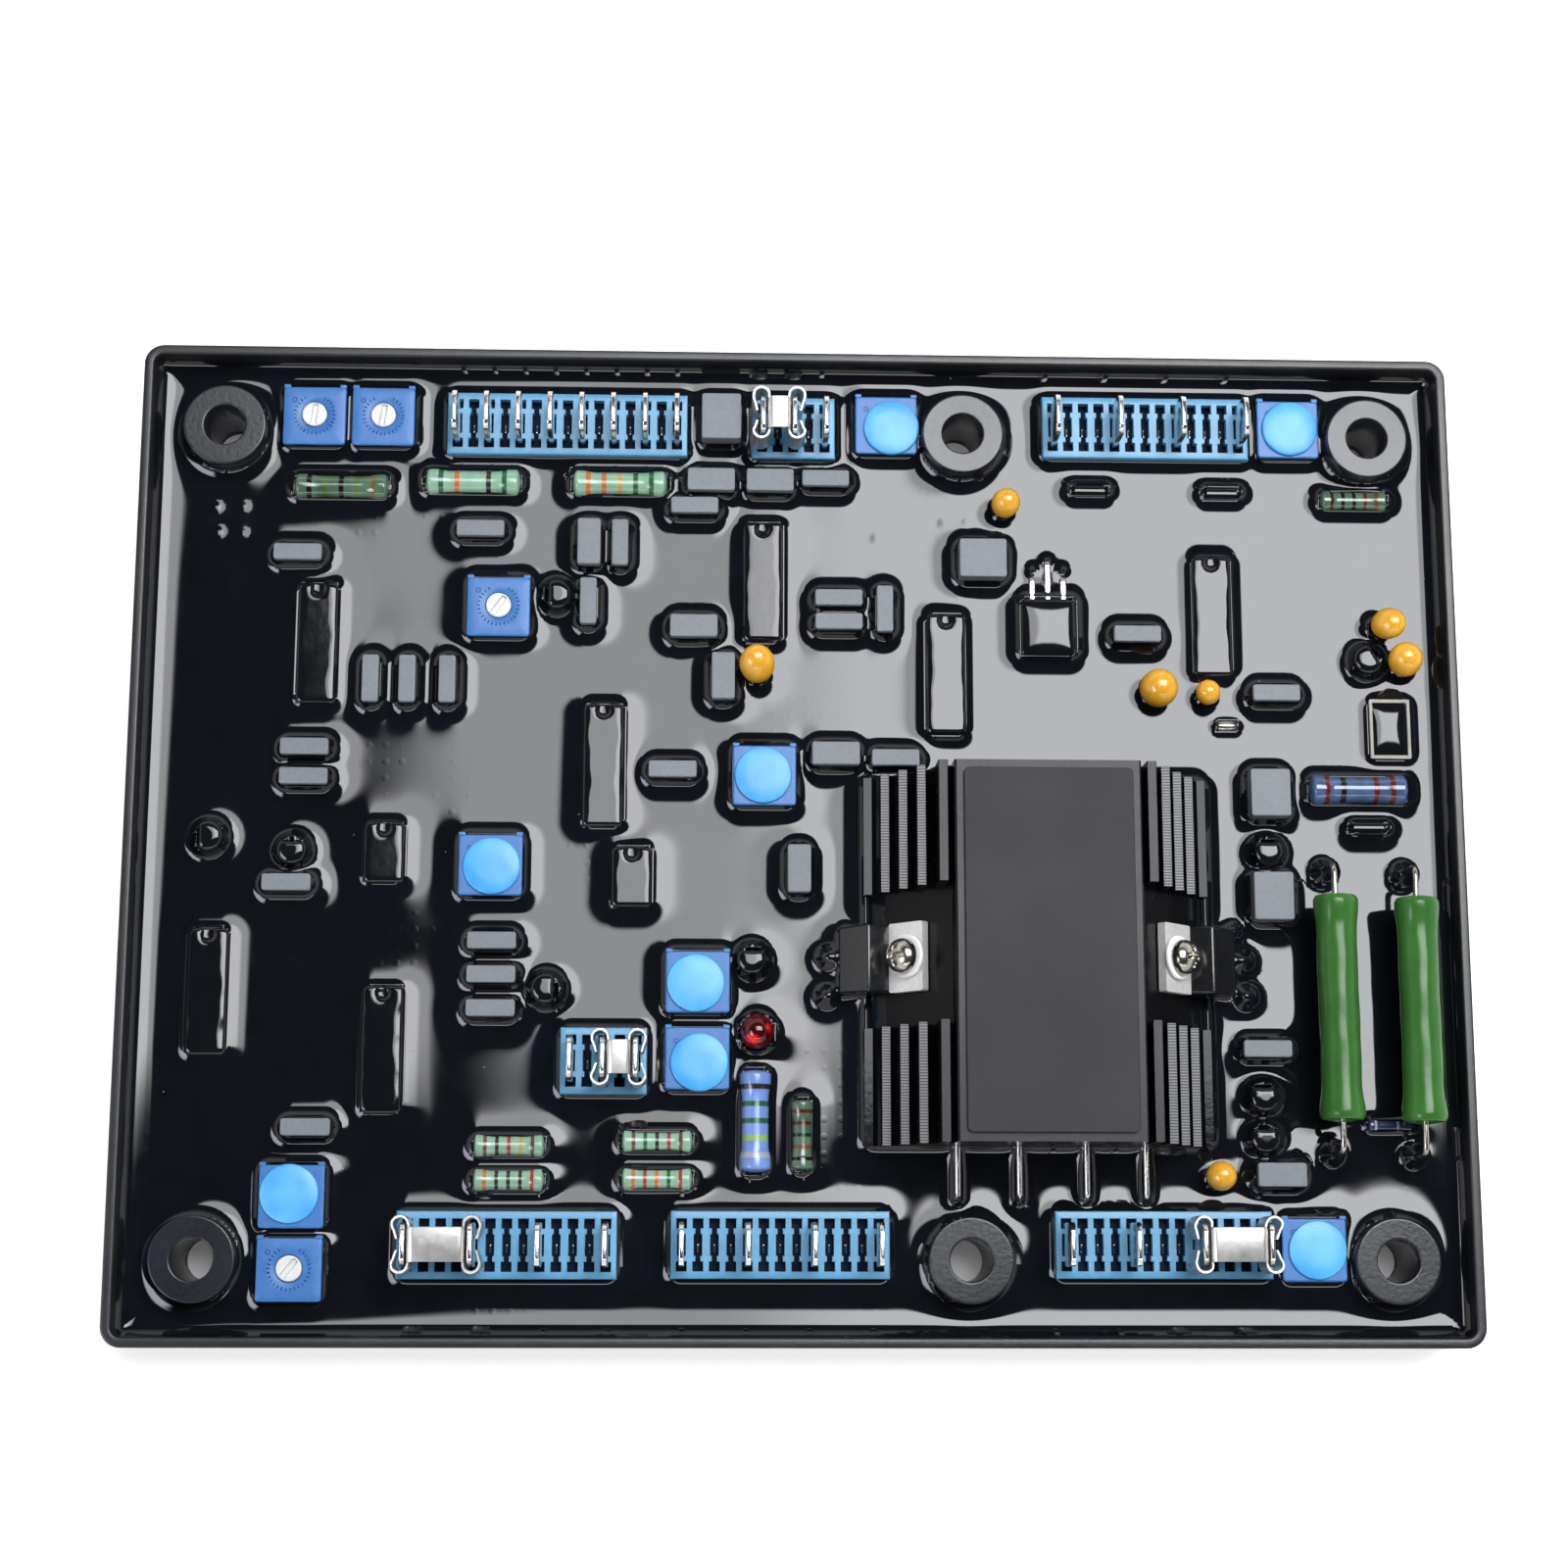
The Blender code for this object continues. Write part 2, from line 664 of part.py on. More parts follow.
def build_power_resistors():
    openings = []
    for number, (x, y, turn) in enumerate(POWER_RESISTORS, 1):
        place, angle = millimetres((x, y)), math.radians(turn)
        body, lead = axial_part("power", place, angle, STANDING)
        body.name = f"power_resistor_{number}"
        keep(body, "blue_coat")
        combine(body, "UNION", [lead])
        openings.append(axial_opening("power", place, angle))
    return openings


# Trimmers

def rotor_pocket(place):
    """The round recess that a rotor turns in."""
    low = TRIMMER_TOP + ROTOR_PROUD - ROTOR_HEIGHT - ROTOR_CLEARANCE
    return cylinder(
        "pocket", ROTOR_RADIUS + ROTOR_CLEARANCE, low, 2 * TRIMMER_TOP, place, FINE
    )


def build_rotor(number, place):
    """A slotted disc whose origin is on its turning axis."""
    top = TRIMMER_TOP + ROTOR_PROUD
    bm = bmesh.new()
    bmesh.ops.create_cone(
        bm, cap_ends=True, segments=MEDIUM, radius1=ROTOR_RADIUS, radius2=ROTOR_RADIUS,
        depth=ROTOR_HEIGHT,
    )
    rotor = object_from_bmesh(
        f"trimmer_rotor_{number}", bm, (*place, top - ROTOR_HEIGHT / 2),
        (0, 0, math.radians(ROTOR_ANGLES[number])),
    )
    keep(rotor, "rotor")
    slot = box(
        "slot", (ROTOR_SLOT_WIDTH, 3 * ROTOR_RADIUS, 2 * ROTOR_SLOT_DEPTH), (*place, top),
        math.radians(ROTOR_ANGLES[number]),
    )
    combine(rotor, "DIFFERENCE", [slot])


def build_seal(number, place):
    """A round seal stuck over a set trimmer, its edge slightly domed."""
    low = TRIMMER_TOP + SEAT_GAP
    profile = [
        (0, low + SEAL_THICKNESS), (SEAL_RADIUS * 0.86, low + SEAL_THICKNESS),
        (SEAL_RADIUS, low + SEAL_THICKNESS / 2), (SEAL_RADIUS, low), (0, low),
    ]
    keep(turned(f"trimmer_seal_{number}", profile, MEDIUM, (*place, 0)), "seal")


def build_trimmers():
    openings = []
    for number, spot in TRIMMERS.items():
        place = millimetres(spot)
        body = keep(
            block(f"trimmer_{number}", TRIMMER_SIDE, TRIMMER_SIDE, STANDING, TRIMMER_TOP, place),
            "trimmer",
        )
        if number in ROTOR_ANGLES:
            lip_x = (TRIMMER_SIDE - TRIMMER_LIP_WIDTH) / 2
            lips = [
                block(
                    "lip", TRIMMER_LIP_WIDTH, TRIMMER_LIP_WIDTH / 2, TRIMMER_TOP - TRIMMER_LIP_HEIGHT,
                    TRIMMER_TOP + TRIMMER_LIP_HEIGHT,
                    (place[0] + side * lip_x, place[1] + TRIMMER_SIDE / 2 - TRIMMER_LIP_WIDTH / 4),
                )
                for side in (-1, 1)
            ]
            combine(body, "UNION", lips)
            combine(body, "DIFFERENCE", [rotor_pocket(place)])
            build_rotor(number, place)
        else:
            build_seal(number, place)
        openings.append(square_opening(TRIMMER_SIDE, TRIMMER_SIDE, place))
    return openings


# Terminal strips and their links

def slot_offset(index, slots):
    return (index - (slots - 1) / 2) * SLOT_PITCH


def tab(place):
    """A flat tab standing in its slot, with a chamfered tip."""
    half = TAB_WIDTH / 2
    low = STRIP_FLOOR - SUNK_IN_BOARD
    points = [
        (-half, low), (half, low), (half, TAB_TOP - TAB_TIP), (half - TAB_TIP, TAB_TOP),
        (TAB_TIP - half, TAB_TOP), (-half, TAB_TOP - TAB_TIP),
    ]
    upright = (math.radians(90), 0, math.radians(90))
    return outline("tab", points, TAB_THICKNESS, (*place, 0), upright)


def build_strips():
    openings = []
    for number, (x, y, slots, tabs) in enumerate(TERMINAL_STRIPS, 1):
        place = millimetres((x, y))
        length = (slots - 1) * SLOT_PITCH + SLOT_WIDTH + 2 * STRIP_END_MARGIN
        strip = keep(
            block(f"terminal_strip_{number}", length, STRIP_WIDTH, STANDING, STRIP_TOP, place),
            "strip",
        )
        slot_solids = [
            block(
                "slot", SLOT_WIDTH, SLOT_LENGTH, STRIP_FLOOR, STRIP_TOP + SLOT_DEPTH,
                (place[0] + slot_offset(index, slots), place[1]),
            )
            for index in range(slots)
        ]
        combine(strip, "DIFFERENCE", slot_solids)
        tab_solids = [tab((place[0] + slot_offset(index, slots), place[1])) for index in tabs]
        combine(strip, "UNION", tab_solids)
        openings.append(square_opening(length, STRIP_WIDTH, place))
    return openings


def receptacle_path(side):
    """Plan of one receptacle round a tab: a flat at its inner face and a curl at each edge.

    The flat faces the other receptacle, on the side given. Each curl wraps outwards and ends in
    a tail along the tab's outer face.
    """
    flat_x = TAB_THICKNESS / 2 + SEAT_GAP + LINK_SHEET / 2
    centre_x = flat_x - LINK_CURL_RADIUS
    centre_y = TAB_WIDTH / 2 - LINK_CURL_CENTRE_IN
    steps = 5
    curl = []
    for step in range(steps + 1):
        angle = math.radians(LINK_CURL_SWEEP) * step / steps
        curl.append(
            (centre_x + LINK_CURL_RADIUS * math.cos(angle), centre_y + LINK_CURL_RADIUS * math.sin(angle))
        )
    curl.append((-flat_x, LINK_TAIL_GAP / 2))
    other = [(x, -y) for x, y in curl]
    return [(side * x, y) for x, y in list(reversed(curl)) + other]


def sheet_strip(name, path, low, high, place):
    """An upright sheet that follows a path in plan, thickened to both sides."""
    bm = bmesh.new()
    bottom = [bm.verts.new((place[0] + x, place[1] + y, low)) for x, y in path]
    edges = [bm.edges.new(pair) for pair in zip(bottom, bottom[1:])]
    raised = bmesh.ops.extrude_edge_only(bm, edges=edges)["geom"]
    top = [item for item in raised if isinstance(item, bmesh.types.BMVert)]
    bmesh.ops.translate(bm, verts=top, vec=(0, 0, high - low))
    bmesh.ops.recalc_face_normals(bm, faces=bm.faces)
    obj = object_from_bmesh(name, bm)
    shell = obj.modifiers.new("Sheet", "SOLIDIFY")
    shell.thickness = LINK_SHEET
    shell.offset = 0
    shell.use_even_offset = True
    return obj


def build_links():
    for number, (strip, first, second) in enumerate(LINKS, 1):
        x, y, slots, _ = TERMINAL_STRIPS[strip]
        centre = millimetres((x, y))
        left = centre[0] + slot_offset(first, slots)
        right = centre[0] + slot_offset(second, slots)
        top = TAB_TOP + SEAT_GAP + LINK_SHEET
        low = top - LINK_HEIGHT
        flat = TAB_THICKNESS / 2 + SEAT_GAP
        bridge = keep(
            block(
                f"shorting_link_{number}", right - left - 2 * flat, LINK_BRIDGE_WIDTH,
                top - LINK_SHEET, top, ((left + right) / 2, centre[1]),
            ),
            "tin",
        )
        receptacles = [
            sheet_strip("receptacle", receptacle_path(1), low, top - LINK_SHEET / 3, (left, centre[1])),
            sheet_strip("receptacle", receptacle_path(-1), low, top - LINK_SHEET / 3, (right, centre[1])),
        ]
        combine(bridge, "UNION", receptacles)


# Heat sink with its power devices

def slope_z(offset):
    """Height of the sloping flank at a distance from the middle plane."""
    return SINK_SHOULDER_Z - (offset - SINK_PLATEAU_HALF) * math.tan(SINK_SLOPE)


def sink_half_profile():
    """Right half, from the channel's roof out to the foot and back over the fins."""
    foot = SINK_PLATEAU_HALF + (SINK_SHOULDER_Z - SINK_FOOT_TOP) / math.tan(SINK_SLOPE)
    channel_roof = STANDING + MODULE_HEIGHT + SEAT_GAP
    points = [
        (SINK_CHANNEL_HALF, channel_roof), (SINK_CHANNEL_HALF, STANDING),
        (SINK_HALF_WIDTH, STANDING), (SINK_HALF_WIDTH, SINK_FOOT_TOP), (foot, SINK_FOOT_TOP),
    ]
    for offset, top in reversed(FINS):
        inner, outer = offset - FIN_THICKNESS / 2, offset + FIN_THICKNESS / 2
        points += [(outer, slope_z(outer)), (outer, top), (inner, top), (inner, slope_z(inner))]
    return points + [(SINK_PLATEAU_HALF, SINK_SHOULDER_Z), (SINK_PLATEAU_HALF, SINK_TOP)]


def on_slope(side, offset, lift):
    """A point on the seat of one flank, lifted along the seat's normal."""
    x = offset + lift * math.sin(SINK_SLOPE)
    z = slope_z(offset) - SEAT_DEPTH / math.cos(SINK_SLOPE) + lift * math.cos(SINK_SLOPE)
    return Vector((SINK_X + side * x, SEAT_MIDDLE_Y, z))


def slope_turn(side):
    """Turns local +X down the slope, with local +Z along the seat's normal."""
    return Euler((0, SINK_SLOPE, 0)) if side > 0 else Euler((0, SINK_SLOPE, math.pi))


def slope_block(name, side, start, length, width, low, high):
    """A block lying on the seat: start and length down the slope, low and high off the seat."""
    middle = on_slope(side, CASE_START_OFFSET, 0)
    turn = slope_turn(side)
    shift = Vector((start + length / 2, 0, (low + high) / 2))
    shift.rotate(turn)
    bm = bmesh.new()
    bmesh.ops.create_cube(bm, size=1.0, matrix=Matrix.Diagonal((length, width, high - low, 1.0)))
    return object_from_bmesh(name, bm, middle + shift, turn)


def slope_round(name, side, profile, facets):
    """A turned piece on the tab hole's axis, its zero height on the seat."""
    middle = on_slope(side, CASE_START_OFFSET, 0)
    turn = slope_turn(side)
    shift = Vector((TAB_HOLE_FROM_END, 0, 0))
    shift.rotate(turn)
    return turned(name, profile, facets, middle + shift, turn)


def washer_low():
    return SEAT_GAP + TAB_PLATE + SEAT_GAP


def screw_bore(name, side, low, high):
    radius = SCREW_SHANK / 2 + SCREW_CLEARANCE
    return slope_round(name, side, [(0, high), (radius, high), (radius, low), (0, low)], MEDIUM)


def build_sink():
    right = sink_half_profile()
    left = [(-x, z) for x, z in reversed(right)]
    middle_y = SINK_FRONT_Y + SINK_LENGTH / 2
    sink = outline(
        "heat_sink", right + left, SINK_LENGTH, (SINK_X, middle_y, 0), (math.radians(90), 0, 0)
    )
    keep(sink, "sink")
    cutters = []
    reach = 2 * SINK_HALF_WIDTH
    for side in (-1, 1):
        start = (SINK_PLATEAU_HALF - CASE_START_OFFSET) / math.cos(SINK_SLOPE) + SEAT_GAP
        cutters.append(slope_block("seat", side, start, reach, SEAT_LENGTH, 0, reach))
        cutters.append(screw_bore("bore", side, -SCREW_LENGTH, SCREW_LENGTH))
    keep_out = block(
        "plateau", 2 * SINK_PLATEAU_HALF, 2 * SINK_LENGTH, SINK_FOOT_TOP, SINK_TOP, (SINK_X, middle_y)
    )
    for cutter in cutters[::2]:
        combine(cutter, "DIFFERENCE", [keep_out.copy()])
    bpy.data.objects.remove(keep_out)
    combine(sink, "DIFFERENCE", cutters)
    length, width = 2 * SINK_HALF_WIDTH, SINK_LENGTH
    return [square_opening(length, width, (SINK_X, middle_y))]


def build_plate():
    middle_y = SINK_FRONT_Y + SINK_LENGTH / 2
    low = SINK_TOP + SEAT_GAP
    plate = block(
        "name_plate", PLATE_WIDTH, PLATE_LENGTH, low, low + PLATE_THICKNESS, (SINK_X, middle_y)
    )
    keep(plate, "plate")


def build_power_transistor(name, side):
    """A tab with a hole, a moulded case over its lower part, and three leads."""
    low = SEAT_GAP
    case = slope_block(name, side, TAB_LENGTH, CASE_LENGTH, CASE_WIDTH, low, low + CASE_THICKNESS)
    keep(case, "epoxy")
    tab_plate = slope_block(
        "tab", side, 0, TAB_LENGTH + SUNK_IN_BOARD, CASE_WIDTH, low, low + TAB_PLATE
    )
    end = on_slope(side, CASE_START_OFFSET, 0)
    run = Vector((TAB_LENGTH + CASE_LENGTH, 0, low + CASE_THICKNESS / 2))
    run.rotate(slope_turn(side))
    leads = []
    for index in (-1, 0, 1):
        start = end + run + Vector((-side * CASE_LEAD, index * CASE_LEAD_PITCH, CASE_LEAD / 2))
        bend = start + Vector((side * 2.6 * CASE_LEAD, 0, -CASE_LEAD / 2))
        foot = Vector((bend.x, bend.y, STANDING))
        leads.append(wire("lead", [start, bend, foot], CASE_LEAD, 4))
    combine(case, "UNION", [tab_plate, *leads])
    combine(case, "DIFFERENCE", [screw_bore("hole", side, -SCREW_LENGTH, 2 * SCREW_LENGTH)])
    outer = SINK_HALF_WIDTH
    inner_x = SINK_X + side * outer
    reach = abs(end.x + run.x - inner_x) + 4 * CASE_LEAD
    place = (inner_x + side * reach / 2, SEAT_MIDDLE_Y)
    return square_opening(reach, CASE_WIDTH, place)


def build_screw(name, side):
    """A pan head with a cross recess and a plain shank."""
    low = washer_low() + WASHER_THICKNESS + SEAT_GAP
    top, radius = low + SCREW_HEAD_HEIGHT, SCREW_HEAD / 2
    bottom = low - SCREW_LENGTH
    profile = [
        (0, top), (radius * 0.45, top - 0.05 * radius), (radius * 0.80, top - 0.25 * radius),
        (radius, low + 0.3 * radius), (radius, low), (SCREW_SHANK / 2, low),
        (SCREW_SHANK / 2, bottom), (0, bottom),
    ]
    screw = keep(slope_round(name, side, profile, MEDIUM), "steel")
    along = TAB_HOLE_FROM_END
    arm, thin = SCREW_HEAD * 0.28, SCREW_HEAD * 0.065
    recess = [
        slope_block("recess", side, along - arm, 2 * arm, 2 * thin, top - SCREW_RECESS, 2 * top),
        slope_block("recess", side, along - thin, 2 * thin, 2 * arm, top - SCREW_RECESS, 2 * top),
    ]
    combine(screw, "DIFFERENCE", recess)


def build_washer(name, side):
    low = washer_low()
    high, outer = low + WASHER_THICKNESS, WASHER_DIAMETER / 2
    washer = slope_round(name, side, [(0, high), (outer, high), (outer, low), (0, low)], MEDIUM)
    keep(washer, "nylon")
    combine(washer, "DIFFERENCE", [screw_bore("hole", side, -SCREW_LENGTH, 2 * SCREW_LENGTH)])


def build_module():
    """The power module in the sink's channel, its leads bent down at the front."""
    middle_y = SINK_FRONT_Y + SINK_LENGTH / 2
    half = SINK_CHANNEL_HALF - MODULE_SIDE_GAP
    module = block(
        "power_module", 2 * half, MODULE_LENGTH, STANDING, STANDING + MODULE_HEIGHT,
        (SINK_X, middle_y),
    )
    keep(module, "epoxy")
    front = middle_y - MODULE_LENGTH / 2
    lead_z = STANDING + MODULE_LEAD_HEIGHT
    leads, openings = [], []
    for offset in MODULE_LEAD_OFFSETS:
        x = SINK_X + offset
        foot_y = SINK_FRONT_Y - MODULE_LEAD_REACH
        route = [(x, front + 2 * MODULE_LEAD_DIAMETER, lead_z), (x, foot_y, lead_z), (x, foot_y, STANDING)]
        leads.append(wire("lead", route, MODULE_LEAD_DIAMETER))
        openings.append(square_opening(2 * MODULE_LEAD_DIAMETER, 2 * MODULE_LEAD_DIAMETER, (x, foot_y)))
    combine(module, "UNION", leads)
    return openings


# Larger parts with nodes of their own

def build_wirewounds():
    openings = []
    half = WIREWOUND_LENGTH / 2
    upper = [
        (0, half), (WIREWOUND_RADIUS * 0.70, half), (WIREWOUND_RADIUS * 0.95, half * 0.965),
        (WIREWOUND_RADIUS, half * 0.90), (WIREWOUND_WAIST, half * 0.70),
    ]
    profile = upper + [(r, -z) for r, z in reversed(upper)]
    reach = half + WIREWOUND_LEAD_REACH
    for number, spot in enumerate(WIREWOUNDS, 1):
        place = millimetres(spot)
        body = turned(
            f"wirewound_resistor_{number}", profile, MEDIUM, (*place, WIREWOUND_AXIS_Z),
            (math.radians(90), 0, 0),
        )
        keep(body, "green")
        x, y = place
        route = [
            (x, y - reach, STANDING), (x, y - reach, WIREWOUND_AXIS_Z - WIREWOUND_LEAD),
            (x, y - reach + WIREWOUND_LEAD, WIREWOUND_AXIS_Z),
            (x, y + reach - WIREWOUND_LEAD, WIREWOUND_AXIS_Z),
            (x, y + reach, WIREWOUND_AXIS_Z - WIREWOUND_LEAD), (x, y + reach, STANDING),
        ]
        combine(body, "UNION", [wire("lead", route, WIREWOUND_LEAD)])
        side_length = 2 * WIREWOUND_LEAD
        openings += [
            square_opening(side_length, side_length, (x, y + side * reach)) for side in (-1, 1)
        ]
    return openings


def build_small_regulator():
    """A chamfered case lying on the board, with three flat leads that bend down behind it."""
    x, y = millimetres(REGULATOR_PLACE)
    half = REGULATOR_WIDTH / 2
    section = [
        (-half, 0), (half, 0), (half, REGULATOR_HEIGHT - REGULATOR_EDGE),
        (half - REGULATOR_EDGE, REGULATOR_HEIGHT), (REGULATOR_EDGE - half, REGULATOR_HEIGHT),
        (-half, REGULATOR_HEIGHT - REGULATOR_EDGE),
    ]
    body = outline(
        "small_regulator", section, REGULATOR_LENGTH, (x, y, STANDING), (math.radians(90), 0, 0)
    )
    keep(body, "epoxy")
    back = y + REGULATOR_LENGTH / 2
    lead_z = STANDING + REGULATOR_LEAD_HEIGHT
    thick = REGULATOR_LEAD_WIDTH / 2
    leads, openings = [], [square_opening(REGULATOR_WIDTH, REGULATOR_LENGTH, (x, y))]
    for index, length in zip((-1, 0, 1), REGULATOR_LEAD_LENGTHS):
        lead_x = x + index * REGULATOR_LEAD_PITCH
        flat_place = (lead_x, back + length / 2 - thick)
        leads.append(
            block("lead", REGULATOR_LEAD_WIDTH, length + 2 * thick, lead_z - thick, lead_z, flat_place)
        )
        foot_place = (lead_x, back + length - thick / 2)
        foot_width, foot_top = REGULATOR_LEAD_WIDTH * 0.8, lead_z - thick / 2
        leads.append(block("foot", foot_width, thick, STANDING, foot_top, foot_place))
        openings.append(square_opening(REGULATOR_LEAD_WIDTH, 2 * thick, foot_place))
    combine(body, "UNION", leads)
    return openings


def build_lamp():
    """A domed lens over a flange."""
    dome = [
        (LAMP_RADIUS * math.sin(angle), LAMP_HEIGHT - LAMP_RADIUS * (1 - math.cos(angle)))
        for angle in (math.radians(90) * step / 4 for step in range(5))
    ]
    profile = dome + [
        (LAMP_RADIUS, LAMP_FLANGE_HEIGHT), (LAMP_FLANGE_RADIUS, LAMP_FLANGE_HEIGHT),
        (LAMP_FLANGE_RADIUS, 0), (0, 0),
    ]
    place = millimetres(LAMP_PLACE)
    keep(turned("indicator_lamp", profile, MEDIUM, (*place, STANDING)), "lamp")
    return [round_opening(LAMP_FLANGE_RADIUS, place)]


def drop_profile(radius):
    """A bulb that narrows to a neck and runs down to the board."""
    neck = radius * DROP_NECK_SHARE
    stop = math.pi - math.asin(DROP_NECK_SHARE * 1.25)
    bulb = [
        (radius * math.sin(stop * step / 5), DROP_BULB_HEIGHT + radius * math.cos(stop * step / 5))
        for step in range(6)
    ]
    return bulb + [(neck, DROP_BULB_HEIGHT - 1.25 * radius), (neck * 0.8, 0), (0, 0)]


def build_drops():
    openings = []
    for number, (spot, diameter, lean) in enumerate(DROPS, 1):
        bulb, radius = Vector(millimetres(spot)), diameter * MM / 2
        shift = Vector(millimetres(lean))
        foot = bulb - shift
        tilt = Vector((shift.x, shift.y, DROP_BULB_HEIGHT)).to_track_quat("Z", "Y").to_euler()
        lifted = STANDING + radius * DROP_NECK_SHARE * shift.length / DROP_BULB_HEIGHT
        drop = turned(
            f"tantalum_capacitor_{number}", drop_profile(radius), COARSE, (*foot, lifted), tilt
        )
        keep(drop, "amber")
        crossing = foot + shift * 0.25
        openings.append(round_opening(radius * DROP_NECK_SHARE + shift.length * 0.3, crossing))
    return openings


def build_all():
    build_tray()
    soldered, openings = [], []
    for group in (film_capacitors, chips, small_transistors, axial_parts):
        solids, holes = group()
        soldered += solids
        openings += holes
    openings += build_power_resistors()
    openings += build_trimmers()
    openings += build_strips()
    build_links()
    openings += build_sink()
    build_plate()
    openings += build_module()
    for side, word in ((-1, "left"), (1, "right")):
        openings.append(build_power_transistor(f"power_transistor_{word}", side))
        build_screw(f"clamp_screw_{word}", side)
        build_washer(f"clamp_washer_{word}", side)
    openings += build_wirewounds()
    openings += build_small_regulator()
    openings += build_lamp()
    openings += build_drops()
    build_board(soldered)
    build_resin(openings)


build_all()
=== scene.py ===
# Looks of the potted voltage regulator. Lengths are in millimetres until a piece is made.
import math

import bmesh
import bpy
import numpy as np
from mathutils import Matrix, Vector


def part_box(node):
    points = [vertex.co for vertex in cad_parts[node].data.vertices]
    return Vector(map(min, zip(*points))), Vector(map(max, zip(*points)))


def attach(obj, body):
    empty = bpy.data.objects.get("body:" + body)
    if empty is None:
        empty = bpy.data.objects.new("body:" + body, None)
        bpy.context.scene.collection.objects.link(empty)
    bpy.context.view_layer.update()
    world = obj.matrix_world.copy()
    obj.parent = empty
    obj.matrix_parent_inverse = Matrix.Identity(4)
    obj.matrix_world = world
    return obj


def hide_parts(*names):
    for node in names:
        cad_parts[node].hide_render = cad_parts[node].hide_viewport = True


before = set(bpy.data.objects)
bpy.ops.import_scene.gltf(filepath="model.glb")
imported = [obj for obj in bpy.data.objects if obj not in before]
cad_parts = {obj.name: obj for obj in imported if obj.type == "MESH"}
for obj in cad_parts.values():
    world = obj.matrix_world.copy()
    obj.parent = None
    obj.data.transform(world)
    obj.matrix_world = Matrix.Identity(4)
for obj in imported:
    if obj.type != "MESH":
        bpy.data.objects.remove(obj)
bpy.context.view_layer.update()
metre = 0.001
print("frame loaded")


def added(name, data):
    # a new object in the scene
    made = bpy.data.objects.new(name, data)
    bpy.context.scene.collection.objects.link(made)
    return made


# Camera at the photograph's viewing angle
cameraLook = {"place": (-16.2, -65.6, 410.3), "turn": (10.4755, -1.9715, 0.4501), "lens": 61.875,
              "sensor": 36, "near": 0.01}


def makeCamera():
    # placed and turned about Z, Y and X as the dictionary says
    camera = added("camera", bpy.data.cameras.new("camera"))
    camera.location = [value * metre for value in cameraLook["place"]]
    camera.rotation_mode = "ZYX"
    camera.rotation_euler = [math.radians(value) for value in cameraLook["turn"]]
    camera.data.lens = cameraLook["lens"]
    camera.data.sensor_width = cameraLook["sensor"]
    camera.data.clip_start = cameraLook["near"]
    bpy.context.scene.camera = camera


makeCamera()
print("camera placed")


# Levels that several pieces share; flat is the ring between a rounded edge and its flat cap
level = {"resin": 10.0, "board": 7.0, "stand": 7.3, "rim": 15.0, "flat": 0.12}


def middle(node):
    # centre of a CAD node's box
    low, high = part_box(node)
    return np.array((low + high) / 2) / metre


def extent(node):
    # length, width and height of a CAD node's box
    low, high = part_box(node)
    return np.array(high - low) / metre


# Surfaces: each is (points, faces, paint), where paint is a colour for each point or None

def gridFaces(rows, columns, wrap=False):
    # quads of a grid of rows x columns points; wrap joins the last column to the first
    i, j = np.meshgrid(np.arange(rows - 1), np.arange(columns if wrap else columns - 1), indexing="ij")
    k = (j + 1) % columns
    corners = [i * columns + j, i * columns + k, (i + 1) * columns + k, (i + 1) * columns + j]
    return np.stack(corners, -1).reshape(-1, 4)


def loft(rings, low=True, high=True, paint=None):
    # P(u, v) = point v of ring u, anticlockwise and upwards; flat faces close both ends
    rings = np.asarray(rings, float)
    count, sides = rings.shape[:2]
    faces = gridFaces(count, sides, wrap=True).tolist()
    if low:
        faces.append(list(range(sides))[::-1])
    if high:
        faces.append(list(range((count - 1) * sides, count * sides)))
    return rings.reshape(-1, 3), faces, paint


def spun(profile, sides=24, closed=False, paint=None):
    # P(u, v) = (r(u) cos v, r(u) sin v, z(u)); profile rows are (r, z), up the outer side
    profile = np.asarray(profile, float)
    angle = np.linspace(0, 2 * np.pi, sides, endpoint=False)
    radius = np.maximum(profile[:, :1], 1e-4)
    height = profile[:, 1:] * np.ones(sides)
    rings = np.stack([radius * np.cos(angle), radius * np.sin(angle), height], -1)
    if closed:
        rings = np.concatenate([rings, rings[:1]])
    if paint is not None:
        paint = np.repeat(np.asarray(paint, float), sides, axis=0)
    return loft(rings, low=not closed, high=not closed, paint=paint)


def turnMatrix(x=0, y=0, z=0):
    # rotation about X, then Y, then Z, in degrees
    a, b, c = np.radians([x, y, z])
    aboutX = np.array([[1, 0, 0], [0, np.cos(a), -np.sin(a)], [0, np.sin(a), np.cos(a)]])
    aboutY = np.array([[np.cos(b), 0, np.sin(b)], [0, 1, 0], [-np.sin(b), 0, np.cos(b)]])
    aboutZ = np.array([[np.cos(c), -np.sin(c), 0], [np.sin(c), np.cos(c), 0], [0, 0, 1]])
    return aboutZ @ aboutY @ aboutX


def placed(surface, place, x=0, y=0, z=0):
    # P' = turn P + place, in degrees about the axes
    points, faces, paint = surface
    place = tuple(place) + (0,) * (3 - len(place))
    return points @ turnMatrix(x, y, z).T + place, faces, paint


def edgeRound(reach, rise, steps=4):
    # quarter round: how far in it goes is reach (1 - cos t), how far down rise (1 - sin t)
    t = np.linspace(0, np.pi / 2, steps)
    return reach * (1 - np.cos(t)), rise * (1 - np.sin(t))


